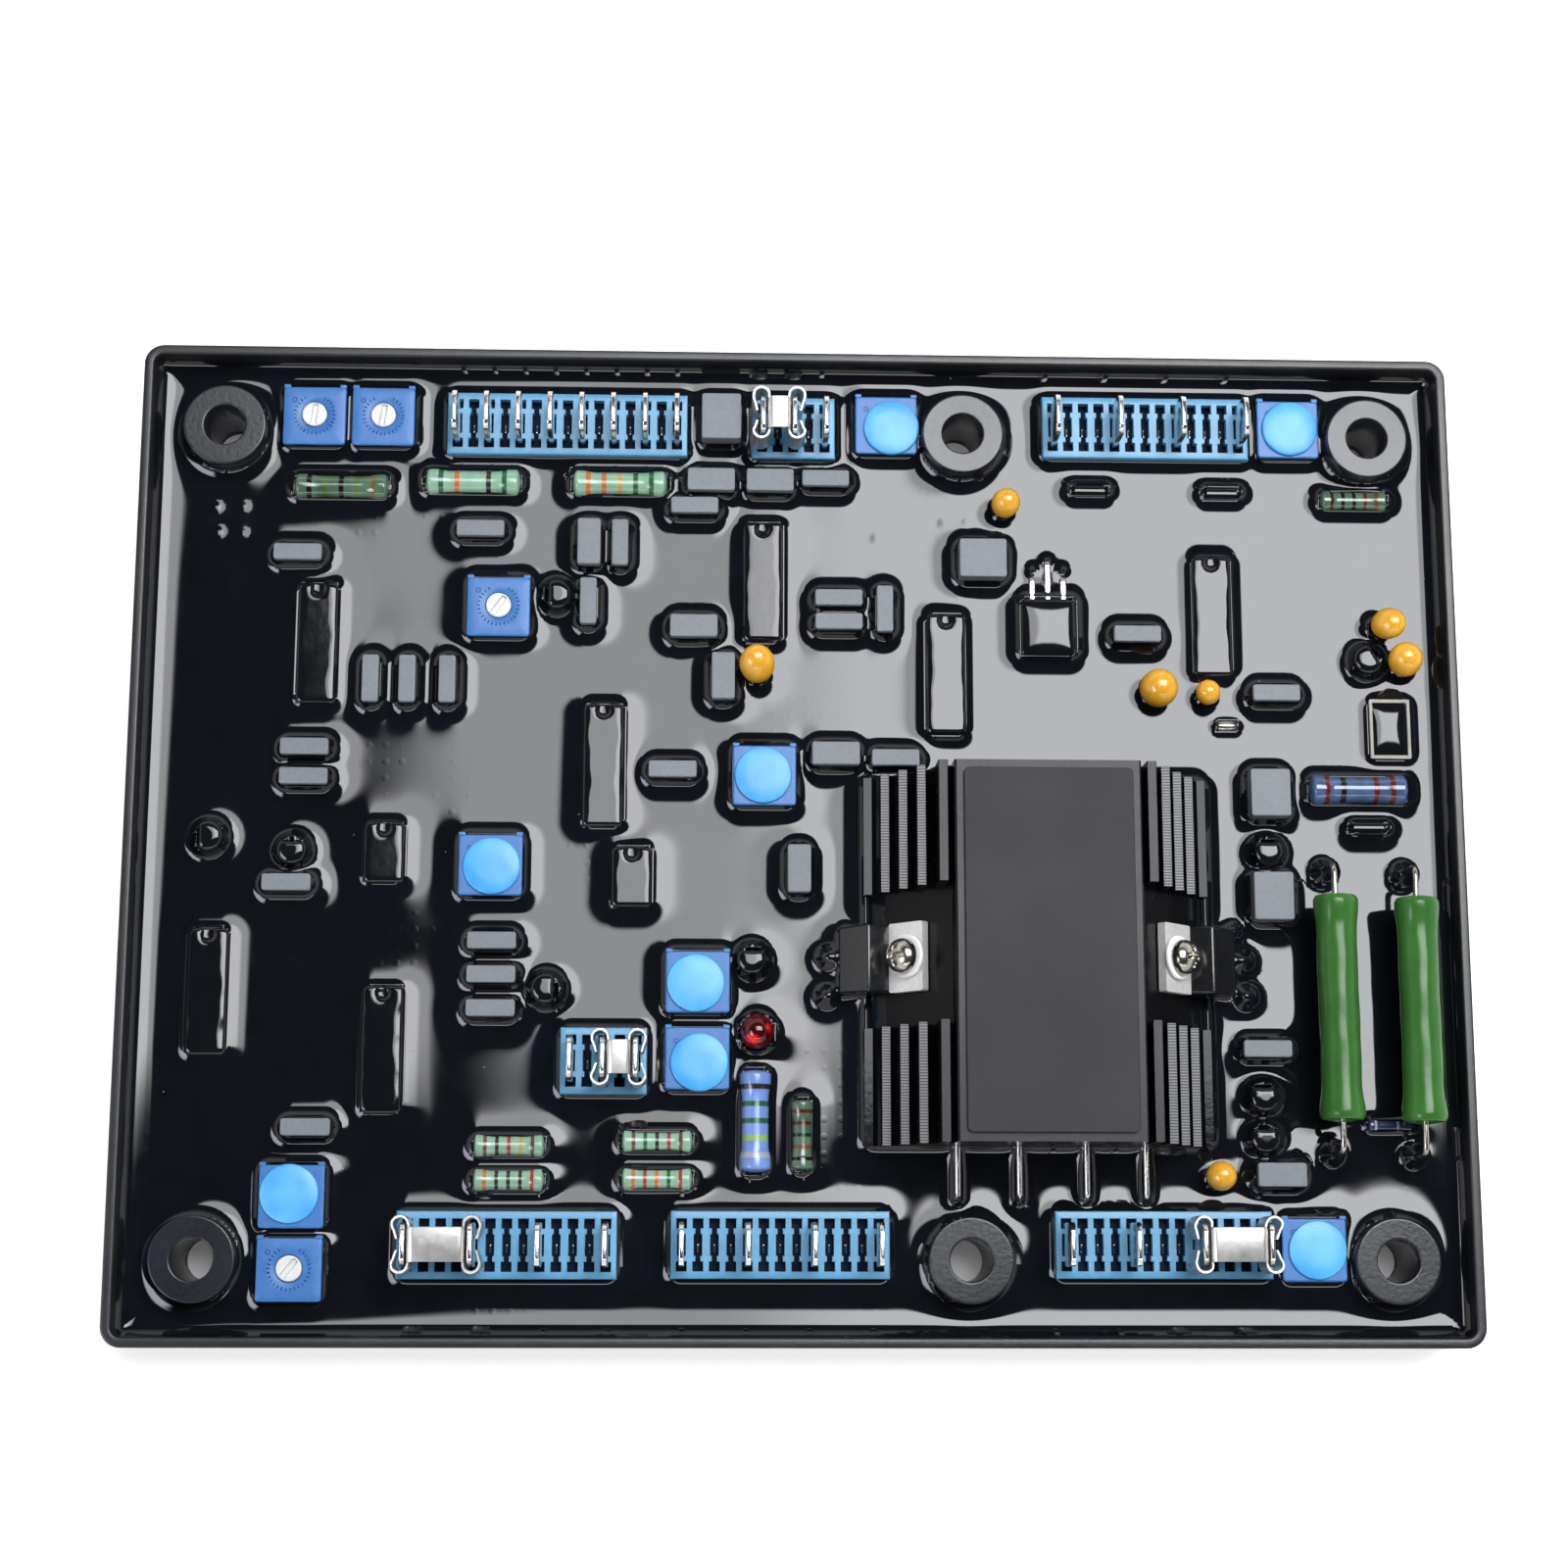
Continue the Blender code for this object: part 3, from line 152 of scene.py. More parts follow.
def roundedOutline(halfX, halfY, corner, steps=4):
    # anticlockwise: each corner's centre plus corner (cos a, sin a), a over its quarter turn
    corner = max(min(corner, halfX - 0.001, halfY - 0.001), 0.005)
    a = np.radians(np.arange(4)[:, None] * 90 + np.linspace(0, 90, steps + 1)).ravel()
    sx = np.repeat([1, -1, -1, 1], steps + 1)
    sy = np.repeat([1, 1, -1, -1], steps + 1)
    return np.c_[sx * (halfX - corner) + corner * np.cos(a), sy * (halfY - corner) + corner * np.sin(a)]


def ringOutline(radius, place, sides=48):
    # anticlockwise: place plus radius (cos a, sin a)
    a = np.linspace(0, 2 * np.pi, sides, endpoint=False)
    return np.c_[place[0] + radius * np.cos(a), place[1] + radius * np.sin(a)]


def atHeight(outline, z):
    # a flat outline lifted to one height
    return np.c_[outline, np.full(len(outline), z)]


def roundedBlock(length, width, low, high, edge, corner=0.4, draft=0.0, steps=4):
    # wall, then a quarter round: inset = draft + edge (1 - cos t), z = high - edge (1 - sin t);
    # one more ring on the flat keeps the cap's shading level
    insets, drops = edgeRound(edge, edge, steps)
    insets = np.r_[0, draft + insets, draft + edge + level["flat"]]
    heights = np.r_[low, high - drops, high]
    return loft([
        atHeight(roundedOutline(length / 2 - inset, width / 2 - inset, corner - inset), z)
        for inset, z in zip(insets, heights)
    ])


def reliefBlock(xs, ys, height, low):
    # top z = height(x, y) on the lines xs and ys, with straight walls down to low
    x, y = np.meshgrid(xs, ys)
    z = np.pad(height(x, y), 1, constant_values=low)
    x, y = np.pad(x, 1, mode="edge"), np.pad(y, 1, mode="edge")
    faces = gridFaces(*x.shape).tolist()
    return np.stack([x, y, z], -1).reshape(-1, 3), faces, None


def bentPath(corners, bend, steps=5):
    # straight runs, each corner P an arc (1-t)^2 A + 2t(1-t) P + t^2 B
    corners = np.asarray(corners, float)
    t = np.linspace(0, 1, steps)[:, None]
    parts = [corners[:1]]
    for a, p, b in zip(corners[:-2], corners[1:-1], corners[2:]):
        start = p + (a - p) / np.linalg.norm(a - p) * bend
        end = p + (b - p) / np.linalg.norm(b - p) * bend
        parts.append((1 - t) ** 2 * start + 2 * t * (1 - t) * p + t**2 * end)
    parts.append(corners[-1:])
    return np.vstack(parts)


def tube(path, radius, across, sides=10):
    # P(u, v) = path(u) + radius(u) (cos v N + sin v B), B across the bends and N = B x T
    path, across = np.asarray(path, float), np.asarray(across, float)
    tangent = np.gradient(path, axis=0)
    tangent /= np.linalg.norm(tangent, axis=1)[:, None]
    normal = np.cross(across, tangent)
    normal /= np.linalg.norm(normal, axis=1)[:, None]
    v = np.linspace(0, 2 * np.pi, sides, endpoint=False)[None, :, None]
    radius = np.broadcast_to(radius, len(path))[:, None, None]
    return loft(path[:, None] + radius * (np.cos(v) * normal[:, None] + np.sin(v) * across))


def together(surfaces):
    # all points in one list, each surface's faces counted on from the last one's
    points, faces, paints, start = [], [], [], 0
    for surfacePoints, surfaceFaces, paint in surfaces:
        points.append(surfacePoints)
        faces += [[start + index for index in face] for face in surfaceFaces]
        paints.append(np.zeros((len(surfacePoints), 3)) if paint is None else paint)
        start += len(surfacePoints)
    hasPaint = any(surface[2] is not None for surface in surfaces)
    return np.vstack(points), faces, np.vstack(paints) if hasPaint else None


def makePiece(name, surfaces, look, node=None, body="unit", sharp=40):
    # a mesh in metres, welded and smooth up to the sharp angle, on its body, with its CAD node hidden
    points, faces, paint = together(surfaces)
    mesh = bpy.data.meshes.new(name)
    mesh.from_pydata((points * metre).tolist(), [], faces)
    if paint is not None:
        layer = mesh.attributes.new("paint", "FLOAT_COLOR", "POINT")
        layer.data.foreach_set("color", np.c_[paint, np.ones(len(paint))].astype(np.float32).ravel())
    work = bmesh.new()
    work.from_mesh(mesh)
    bmesh.ops.remove_doubles(work, verts=work.verts, dist=2e-7)
    work.to_mesh(mesh)
    work.free()
    mesh.materials.append(finish[look])
    mesh.shade_smooth()
    mesh.set_sharp_from_angle(angle=math.radians(sharp))
    piece = added(name, mesh)
    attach(piece, body)
    if node:
        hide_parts(node)


# Shared shader effects

def linear(colour):
    # display colour 0..255 to the renderer's linear value
    c = np.asarray(colour, float) / 255
    return tuple(np.where(c < 0.04045, c / 12.92, ((c + 0.055) / 1.055) ** 2.4)) + (1.0,)


def fill(tree, sockets, values):
    # each socket is linked to another one or set to a value
    for socket, value in values.items():
        if isinstance(value, bpy.types.NodeSocket):
            tree.links.new(value, sockets[socket])
        else:
            sockets[socket].default_value = value


def addNode(tree, kind, values, **settings):
    # a node with its properties and inputs set, as its outputs
    node = tree.nodes.new(kind)
    for key, value in settings.items():
        setattr(node, key, value)
    fill(tree, node.inputs, values)
    return node.outputs


def calc(tree, operation, *values, clamp=False):
    # one sum on up to three values
    return addNode(tree, "ShaderNodeMath", dict(enumerate(values)), operation=operation, use_clamp=clamp)[0]


def mixColour(tree, factor, a, b, blend="MIX"):
    # from a to b by the factor
    return addNode(tree, "ShaderNodeMix", {0: factor, 6: a, 7: b}, data_type="RGBA", blend_type=blend)[2]


def spread(tree, value, start, stop, low=0.0, high=1.0, smooth=False):
    # low at start, high at stop, level outside
    values = {0: value, 1: start, 2: stop, 3: low, 4: high}
    kind = "SMOOTHSTEP" if smooth else "LINEAR"
    return addNode(tree, "ShaderNodeMapRange", values, interpolation_type=kind)[0]


def noise(tree, spot, scale, detail):
    # smooth variation about a half
    return addNode(tree, "ShaderNodeTexNoise", {"Vector": spot, "Scale": scale, "Detail": detail})[0]


def objectSpot(tree):
    # the shaded point's place in its own object, in metres
    return tree.nodes.new("ShaderNodeTexCoord").outputs["Object"]


def axes(tree, vector):
    # X, Y and Z of a vector, as three sockets
    return addNode(tree, "ShaderNodeSeparateXYZ", {0: vector})


def newGroup(name, inputs, outputs):
    # sockets hold numbers, apart from those named here as colours
    group = bpy.data.node_groups.new(name, "ShaderNodeTree")
    for direction, sockets in (("INPUT", inputs), ("OUTPUT", dict.fromkeys(outputs))):
        for socket, value in sockets.items():
            kind = "NodeSocketColor" if socket in ("Colour", "Second") else "NodeSocketFloat"
            made = group.interface.new_socket(socket, in_out=direction, socket_type=kind)
            if value is not None:
                made.default_value = value
    return group, group.nodes.new("NodeGroupInput").outputs, group.nodes.new("NodeGroupOutput").inputs


def grainGroup():
    # colour drifting between two tones, roughness drifting, and a fine height
    inputs = {"Colour": None, "Second": None, "Scale": 400.0, "Rough": 0.4, "Spread": 0.1}
    group, given, out = newGroup("grain", inputs, ("Colour", "Rough", "Height"))
    spot = objectSpot(group)
    drift, fine = noise(group, spot, 90.0, 3.0), noise(group, spot, given["Scale"], 4.0)
    blend = calc(group, "MULTIPLY_ADD", fine, 0.5, calc(group, "MULTIPLY", drift, 0.5))
    steep = spread(group, blend, 0.35, 0.65)
    scaled = calc(group, "MULTIPLY", calc(group, "SUBTRACT", steep, 0.5), given["Spread"])
    fill(group, out, {
        "Colour": mixColour(group, steep, given["Colour"], given["Second"]),
        "Rough": calc(group, "ADD", scaled, given["Rough"], clamp=True), "Height": fine})
    return group


def clingGroup():
    # 1 where resin still clings to a part: below a wavy line at the height Limit
    group, given, out = newGroup("resinCling", {"Limit": 0.012, "Wave": 0.0006}, ["Mask"])
    spot = objectSpot(group)
    wave = calc(group, "SUBTRACT", noise(group, spot, 350.0, 1.0), 0.5)
    line = calc(group, "ADD", calc(group, "MULTIPLY", wave, given["Wave"]), given["Limit"])
    gap = calc(group, "SUBTRACT", line, axes(group, spot)[2])
    fill(group, out, {"Mask": spread(group, gap, -0.0001, 0.0001)})
    return group


grain, cling = grainGroup(), clingGroup()
resinTone = linear((15, 18, 23))


def newMaterial(name):
    # a material, its tree and its shader's inputs
    made = bpy.data.materials.new(name)
    made.use_nodes = True
    return made, made.node_tree, made.node_tree.nodes["Principled BSDF"].inputs


def material(name, look):
    # look: tone, second, scale, rough, spread, bump, metal, shine, coat, cling, wave, paint, clear
    made, tree, shader = newMaterial(name)
    skin = addNode(tree, "ShaderNodeGroup", {
        "Colour": linear(look["tone"]), "Second": linear(look["second"]), "Rough": look["rough"],
        "Scale": look.get("scale", 900.0), "Spread": look.get("spread", 0.08)}, node_tree=grain)
    colour, rough = skin["Colour"], skin["Rough"]
    if look.get("paint"):
        layer = addNode(tree, "ShaderNodeAttribute", {}, attribute_name="paint")["Color"]
        colour = mixColour(tree, 1.0, layer, colour, "MULTIPLY")
    if look.get("cling"):
        mask = addNode(tree, "ShaderNodeGroup", {
            "Limit": look["cling"] * metre, "Wave": look.get("wave", 0.6) * metre}, node_tree=cling)[0]
        colour = mixColour(tree, mask, colour, resinTone)
        rough = spread(tree, mask, 0.0, 1.0, rough, 0.05)
    bump = addNode(tree, "ShaderNodeBump", {
        "Strength": look.get("bump", 0.05), "Distance": 0.0002, "Height": skin["Height"]})[0]
    fill(tree, shader, {
        "Base Color": colour, "Roughness": rough, "Metallic": look.get("metal", 0.0),
        "Specular IOR Level": look.get("shine", 0.5), "Coat Weight": look.get("coat", 0.0),
        "Coat Roughness": 0.03, "Transmission Weight": look.get("clear", 0.0), "Normal": bump})
    return made


looks = {
    "trayPlastic": {"tone": (27, 28, 30), "second": (34, 35, 37), "rough": 0.34, "bump": 0.12,
                    "scale": 1800},
    "bossPlastic": {"tone": (27, 30, 36), "second": (33, 36, 42), "rough": 0.24, "bump": 0.1,
                    "scale": 1500},
    "coatedBlack": {"tone": (13, 15, 19), "second": (19, 21, 25), "rough": 0.06, "spread": 0.04,
                    "bump": 0.04, "scale": 500},
    "filmGrey": {"tone": (106, 112, 118), "second": (121, 126, 132), "rough": 0.5, "bump": 0.06,
                 "cling": 12.7, "wave": 0.7, "scale": 1400},
    "filmTall": {"tone": (106, 112, 118), "second": (121, 126, 132), "rough": 0.5, "bump": 0.06,
                 "cling": 11.5, "wave": 0.5, "scale": 1400},
    "trimmerBlue": {"tone": (44, 104, 174), "second": (56, 118, 186), "rough": 0.4, "bump": 0.04,
                    "cling": 11.9},
    "tickBlue": {"tone": (18, 60, 140), "second": (24, 70, 154), "rough": 0.5},
    "rotorWhite": {"tone": (226, 226, 222), "second": (206, 208, 208), "rough": 0.38},
    "sealBlue": {"tone": (56, 154, 226), "second": (98, 188, 242), "rough": 0.36, "bump": 0.12,
                 "scale": 240},
    "stripBlue": {"tone": (80, 144, 184), "second": (92, 156, 196), "rough": 0.36, "cling": 10.8},
    "tinned": {"tone": (240, 239, 236), "second": (214, 212, 208), "rough": 0.2, "spread": 0.16,
               "bump": 0.06, "metal": 1.0, "scale": 1600},
    "linkTin": {"tone": (236, 234, 230), "second": (206, 204, 200), "rough": 0.36, "spread": 0.14,
                "bump": 0.1, "metal": 1.0, "scale": 1100},
    "tabMetal": {"tone": (240, 240, 238), "second": (220, 219, 216), "rough": 0.44, "spread": 0.12,
                 "bump": 0.06, "metal": 0.5, "scale": 1300},
    # painted shade: the dark navy of the slots' floors inside the strip housings
    "paintedSlotShade": {"tone": (12, 27, 48), "second": (8, 18, 34), "rough": 0.6, "bump": 0.1, "shine": 0.1},
    "platedSteel": {"tone": (206, 202, 192), "second": (156, 152, 142), "rough": 0.2, "spread": 0.14,
                    "bump": 0.06, "metal": 1.0, "scale": 1200},
    "nylonWhite": {"tone": (250, 250, 249), "second": (242, 243, 243), "rough": 0.36, "bump": 0.04},
    "plateBlack": {"tone": (15, 15, 16), "second": (20, 20, 21), "rough": 0.62, "bump": 0.12,
                   "scale": 2200},
    "blackCase": {"tone": (20, 21, 23), "second": (27, 28, 30), "rough": 0.22, "bump": 0.08,
                  "coat": 0.3},
    "vitreousGreen": {"tone": (58, 110, 47), "second": (48, 96, 39), "rough": 0.2, "spread": 0.1,
                      "bump": 0.3, "scale": 240, "shine": 0.28},
    "amberDip": {"tone": (232, 174, 48), "second": (218, 154, 34), "rough": 0.24, "bump": 0.12,
                 "scale": 500, "coat": 0.5, "cling": 10.6},
    "lampRed": {"tone": (126, 10, 14), "second": (102, 6, 10), "rough": 0.08, "spread": 0.02,
                "bump": 0.01, "clear": 0.75},
    "lacquer": {"tone": (255, 255, 255), "second": (224, 224, 224), "rough": 0.24, "bump": 0.14,
                "scale": 420, "coat": 0.5, "paint": True, "cling": 9.6, "wave": 1.6},
    "lacquerSmeared": {"tone": (176, 180, 176), "second": (112, 118, 112), "rough": 0.14, "bump": 0.2,
                       "scale": 420, "coat": 0.5, "paint": True, "cling": 10.5, "wave": 1.8},
    "creamFrame": {"tone": (150, 147, 134), "second": (128, 125, 114), "rough": 0.4, "bump": 0.1},
    "anodised": {"tone": (11, 11, 13), "second": (17, 17, 19), "rough": 0.24, "bump": 0.06,
                 "cling": 13.2, "wave": 1.2, "shine": 0.16},
}
finish = {name: material(name, look) for name, look in looks.items()}
print("materials made:", len(finish))


# Tray with six bosses, all one moulding
tray = {"length": 200.0, "width": 150.0, "wall": 1.5, "corner": 3.0, "floor": 1.6, "rimRound": 0.35,
        "footRound": 0.6, "wallFoot": 1.5}
boss = {"width": 12.5, "hole": 6.2, "top": 14.7, "x": (-87.5, 25.0, 87.5), "y": 62.5, "edge": 0.25,
        "flat": 0.1}
bossPlaces = [(x, side * boss["y"]) for side in (1, -1) for x in boss["x"]]


def quarter(centre, radius, start, stop, steps=5):
    # centre + radius (cos a, sin a), for fillets in a section
    a = np.radians(np.linspace(start, stop, steps))
    return np.c_[centre[0] + radius * np.cos(a), centre[1] + radius * np.sin(a)]


def trayOutline(inset):
    # the tray's outline drawn in all round by the inset
    return roundedOutline(tray["length"] / 2 - inset, tray["width"] / 2 - inset, tray["corner"] - inset, 8)


def trayWall():
    # the section (inset, height) carried round the tray's outline, up outside and down inside
    r, foot, wall = tray["rimRound"], tray["footRound"], tray["wall"]
    section = np.vstack([
        quarter((foot, foot), foot, 270, 180, 4), quarter((r, level["rim"] - r), r, 180, 90),
        quarter((wall - r, level["rim"] - r), r, 90, 0), [[wall, tray["wallFoot"]]]])
    return loft([atHeight(trayOutline(inset), z) for inset, z in section], low=False, high=False)


def flatPlate(name, outlines, low, high):
    # the region inside the first outline and outside the others, between two heights
    curve = bpy.data.curves.new(name, "CURVE")
    curve.dimensions, curve.fill_mode, curve.extrude = "2D", "BOTH", (high - low) / 2
    for outline in outlines:
        spline = curve.splines.new("POLY")
        spline.points.add(len(outline) - 1)
        spline.points.foreach_set("co", np.c_[atHeight(outline, 0), np.ones(len(outline))].ravel())
        spline.use_cyclic_u = True
    guide = added(name, curve)
    mesh = bpy.data.meshes.new_from_object(guide.evaluated_get(bpy.context.evaluated_depsgraph_get()))
    bpy.data.objects.remove(guide)
    points = np.empty(len(mesh.vertices) * 3)
    mesh.vertices.foreach_get("co", points)
    faces = [list(polygon.vertices) for polygon in mesh.polygons]
    return points.reshape(-1, 3) + (0, 0, (low + high) / 2), faces, None


def bossSurface(place):
    # the wall, top land and bore as one section spun round the hole, open below
    outer, hole = boss["width"] / 2, boss["hole"] / 2
    top, edge, flat = boss["top"], boss["edge"], boss["flat"]
    outward = quarter((outer - edge, top - edge), edge, 0, 90)
    land = [(outer - edge - flat, top), (hole + edge + flat, top)]
    inward = quarter((hole + edge, top - edge), edge, 90, 180)
    profile = np.vstack([[(outer, tray["wallFoot"])], outward, land, inward, [(hole, 0.0)]])
    sides = 48
    points, faces, paint = spun(profile, sides)
    return placed((points, faces[: (len(profile) - 1) * sides], paint), place)


def makeTray():
    # the wall, a floor plate with the six holes, and a boss round each hole
    holes = [ringOutline(boss["hole"] / 2, place) for place in bossPlaces]
    bottom = flatPlate("bottom", [trayOutline(tray["footRound"]), *holes], 0.0, tray["floor"])
    makePiece("tray", [trayWall(), bottom], "trayPlastic", "potting_tray")
    makePiece("trayBosses", [bossSurface(place) for place in bossPlaces], "bossPlastic")


makeTray()
print("tray made")


# Parts soldered to the board, as (x, y, turn)
board = {"half": (96.5, 71.5), "corner": 1.0, "low": 5.4, "bossGap": 0.2}
films = {
    "narrow": {"size": (7.2, 2.5), "top": 13.6, "places": [
        (-76, 43, 0), (4, 55.5, 0), (-16, 51, 0), (-48.5, 47, 0), (6, 36.7, 0), (6, 33, 0),
        (51.5, 31.5, 0), (72.5, 22.5, 0), (69.5, -31.5, 0), (-74, 13, 0), (-74, 8.5, 0),
        (-76, -7.5, 0), (-19, 10, 0), (14.5, 12, 0), (-45.5, -16, 0), (-45.5, -21, 0),
        (-45.5, -26, 0), (-72, -43.5, 0), (-64.5, 23.5, 90), (-59, 23.5, 90), (-53, 23.5, 90),
        (-27.3, 45, 90), (-32, 35.8, 90), (13, 35, 90)]},
    "medium": {"size": (7.2, 3.5), "top": 14.0, "places": [
        (-13.5, 55, 0), (-4.5, 55, 0), (-16, 32, 0), (5.5, 12.5, 0), (71, -50, 0), (-32, 45, 90),
        (-11.5, 24.3, 90), (0, -5, 90)]},
    "wide": {"size": (7.2, 6.0), "top": 14.2, "places": [
        (28, 43, 0), (-12, 65, 90), (71, 7, 90), (71, -8.7, 90)]},
}
chips = {
    "width": 6.4, "top": 11.0, "edge": 1.25, "notch": 1.1, "notchIn": 1.2, "notchDeep": 0.5,
    "long": {"length": 19.2, "places": [
        (-73, 29.5), (-5.5, 39.7), (22.5, 25.5), (63.5, 35), (-87.5, -23.5), (-61.5, -32), (-29.5, 11)]},
    "short": {"length": 9.6, "places": [(-62, -2.5), (-25, -6), (90.3, 17.5)]},
    # one chip has a cushion-shaped lid and a pale frame: its half sizes and corners, out and in
    "framed": (90.3, 17.5), "frame": ((3.1, 4.6, 0.2), (2.65, 4.1, 0.15)),
    "frameLow": 9.8, "frameHigh": 11.06,
}
smallCases = {
    "radius": 2.3, "flat": 1.3, "top": 13.2, "edge": 1.5, "rise": 0.8,
    "places": [
        (-88, -0.5, 180), (-75.5, -2.5, 90), (-37.5, -23, 0), (-7, -18.5, 90), (-36.8, 37, 180),
        (87, 28, 30), (70.7, -1.7, 90), (69, -38.5, 90), (69, -44.6, 90)],
}
tones = {
    "mint": (146, 188, 160), "lilac": (122, 156, 226), "navy": (44, 60, 92), "dark": (46, 40, 40),
    "orange": (205, 110, 50), "red": (170, 60, 46), "green": (40, 96, 60), "brown": (110, 66, 44),
    "silver": (176, 178, 180), "gold": (190, 160, 90), "lime": (150, 190, 90),
}
axials = {
    # diameter, length, axis height, lead diameter
    "large": {"size": (4.4, 14.5, 10.0, 0.8), "base": "mint", "smeared": (0,), "places": [
        (-70, 54, 0, "dark lime dark lime gold"), (-50, 55, 0, "green orange mint dark green"),
        (-27.5, 55, 0, "orange orange gold green green")]},
    "small": {"size": (3.6, 10.4, 10.0, 0.7), "base": "mint", "smeared": (0, 1), "places": [
        (86, 53.6, 0, "brown dark dark red orange"), (0.5, -44.3, 90, "dark orange green red red"),
        (-42.5, -46, 0, "brown dark red gold brown"), (-42.5, -51, 0, "orange dark dark dark red"),
        (-20.8, -45.3, 0, "brown green dark red brown"), (-20.8, -50.8, 0, "orange red orange green red")]},
    "mini": {"size": (2.4, 6.6, 10.0, 0.6), "base": "navy", "places": [
        (88, -42.6, 0, "silver navy navy silver navy")]},
    "power": {"size": (4.7, 15.0, 10.7, 0.8), "base": "lilac", "smeared": (0,), "places": [
        (85, 8, 0, "red dark lilac red red"), (-6.4, -42.3, 90, "silver lime green green dark")]},
}
# a lacquered body's waist, where it swells and rounds off, and its bands' reach and half width
banded = {"waist": 0.85, "swellAt": 0.62, "roundAt": 0.90, "bandReach": 0.66, "bandHalf": 0.055}
diodes = {"size": (2.7, 5.5, 9.6, 0.8), "places": [(45, 54.8), (65.5, 54.6), (86.5, 2.2)]}
strayStub = {"size": (1.8, 3.6, 9.9), "place": (65.4, 17.9)}
# leads run low, where the resin covers them
buriedLead = {"reach": 1.2, "axis": 9.6, "bend": 0.9}


def chipSurface(length, place):
    # resin-coated lid: z = top - 0.6 edge (1 - sqrt(1 - f^2)), f = fall towards the rounded rim,
    # where the rim's width wanders along the chip; less a round notch near the back end
    half, top = chips["width"] / 2, chips["top"]
    xs = np.linspace(-half, half, 25)
    ys = np.linspace(-length / 2, length / 2, int(length / 0.3))
    phase = place[0] * 0.7 + place[1] * 0.4

    def height(x, y):
        edge = chips["edge"] * (1 + 0.22 * np.sin(y * 0.45 + phase) + 0.1 * np.sin(y * 1.3 + 2 * phase))
        u = np.clip(1 - (half - np.abs(x)) / edge, 0, 1)
        v = np.clip(1 - (length / 2 - np.abs(y)) / (edge * 0.8), 0, 1)
        fall = np.clip(np.hypot(u, v), 0, 1)
        reach = np.hypot(x, y - length / 2 + chips["notchIn"]) / chips["notch"]
        dimple = chips["notchDeep"] * np.exp(-(reach**4))
        return top - 0.6 * chips["edge"] * (1 - np.sqrt(1 - fall**2)) - dimple

    def cushion(x, y):
        # z = top - 0.7 (u^4 + v^4)^0.6, u and v from -1 to 1
        return top - 0.7 * ((x / half) ** 4 + (2 * y / length) ** 4) ** 0.6

    shape = cushion if place == chips["framed"] else height
    return placed(reliefBlock(xs, ys, shape, level["stand"]), place)


def smallCase(place, turn):
    # circle cut by a flat, then the same outline shrunk over a dome: inset = edge (1 - cos t),
    # z = top - rise (1 - sin t)
    radius, flat, top = smallCases["radius"], smallCases["flat"], smallCases["top"]
    start = math.acos(flat / radius)
    a = np.linspace(start, 2 * np.pi - start, 22)
    side = np.linspace(-1, 1, 8)[1:-1, None] * (0, math.sin(start)) + (flat / radius, 0)
    outline = np.vstack([np.c_[np.cos(a), np.sin(a)], side]) * radius
    insets, drops = edgeRound(smallCases["edge"], smallCases["rise"], 8)
    shrink = np.r_[1, 1 - insets / radius, 0.25]
    heights = np.r_[level["stand"], top - drops, top]
    return placed(loft([atHeight(outline * share, z) for share, z in zip(shrink, heights)]), place, z=turn)


def lying(surface, place, turn=0):
    # a body turned about its own axis, laid level along X and then turned to its place
    return placed(placed(surface, (0, 0, 0), y=90), place, z=turn)


def bandedBody(size, base, bands):
    # r(u) swells over both ends; paint(u) takes a band's tone where |u - centre| < half width
    u = np.linspace(-1, 1, 97)
    swell = 1 / (1 + np.exp(-(np.abs(u) - banded["swellAt"]) * 22))
    radius = size[0] / 2 * (banded["waist"] + (1 - banded["waist"]) * swell)
    ends = np.clip((np.abs(u) - banded["roundAt"]) / 0.105, 0, 1)
    radius = radius * np.sqrt(np.clip(1 - ends**2, 0, 1))
    paint = np.tile(linear(tones[base])[:3], (len(u), 1))
    for centre, band in zip(np.linspace(-banded["bandReach"], banded["bandReach"], len(bands)), bands):
        paint[np.abs(u - centre) < banded["bandHalf"]] = linear(tones[band])[:3]
    return spun(np.c_[radius, u * size[1] / 2], 22, paint=paint)


def leadPair(size):
    # one wire along the body's axis, bent down past both of its ends
    far, axis, foot = size[1] / 2 + buriedLead["reach"], buriedLead["axis"], level["board"]
    corners = [(-far, 0, foot), (-far, 0, axis), (far, 0, axis), (far, 0, foot)]
    return tube(bentPath(corners, buriedLead["bend"]), size[3] / 2, (0, 1, 0), 8)


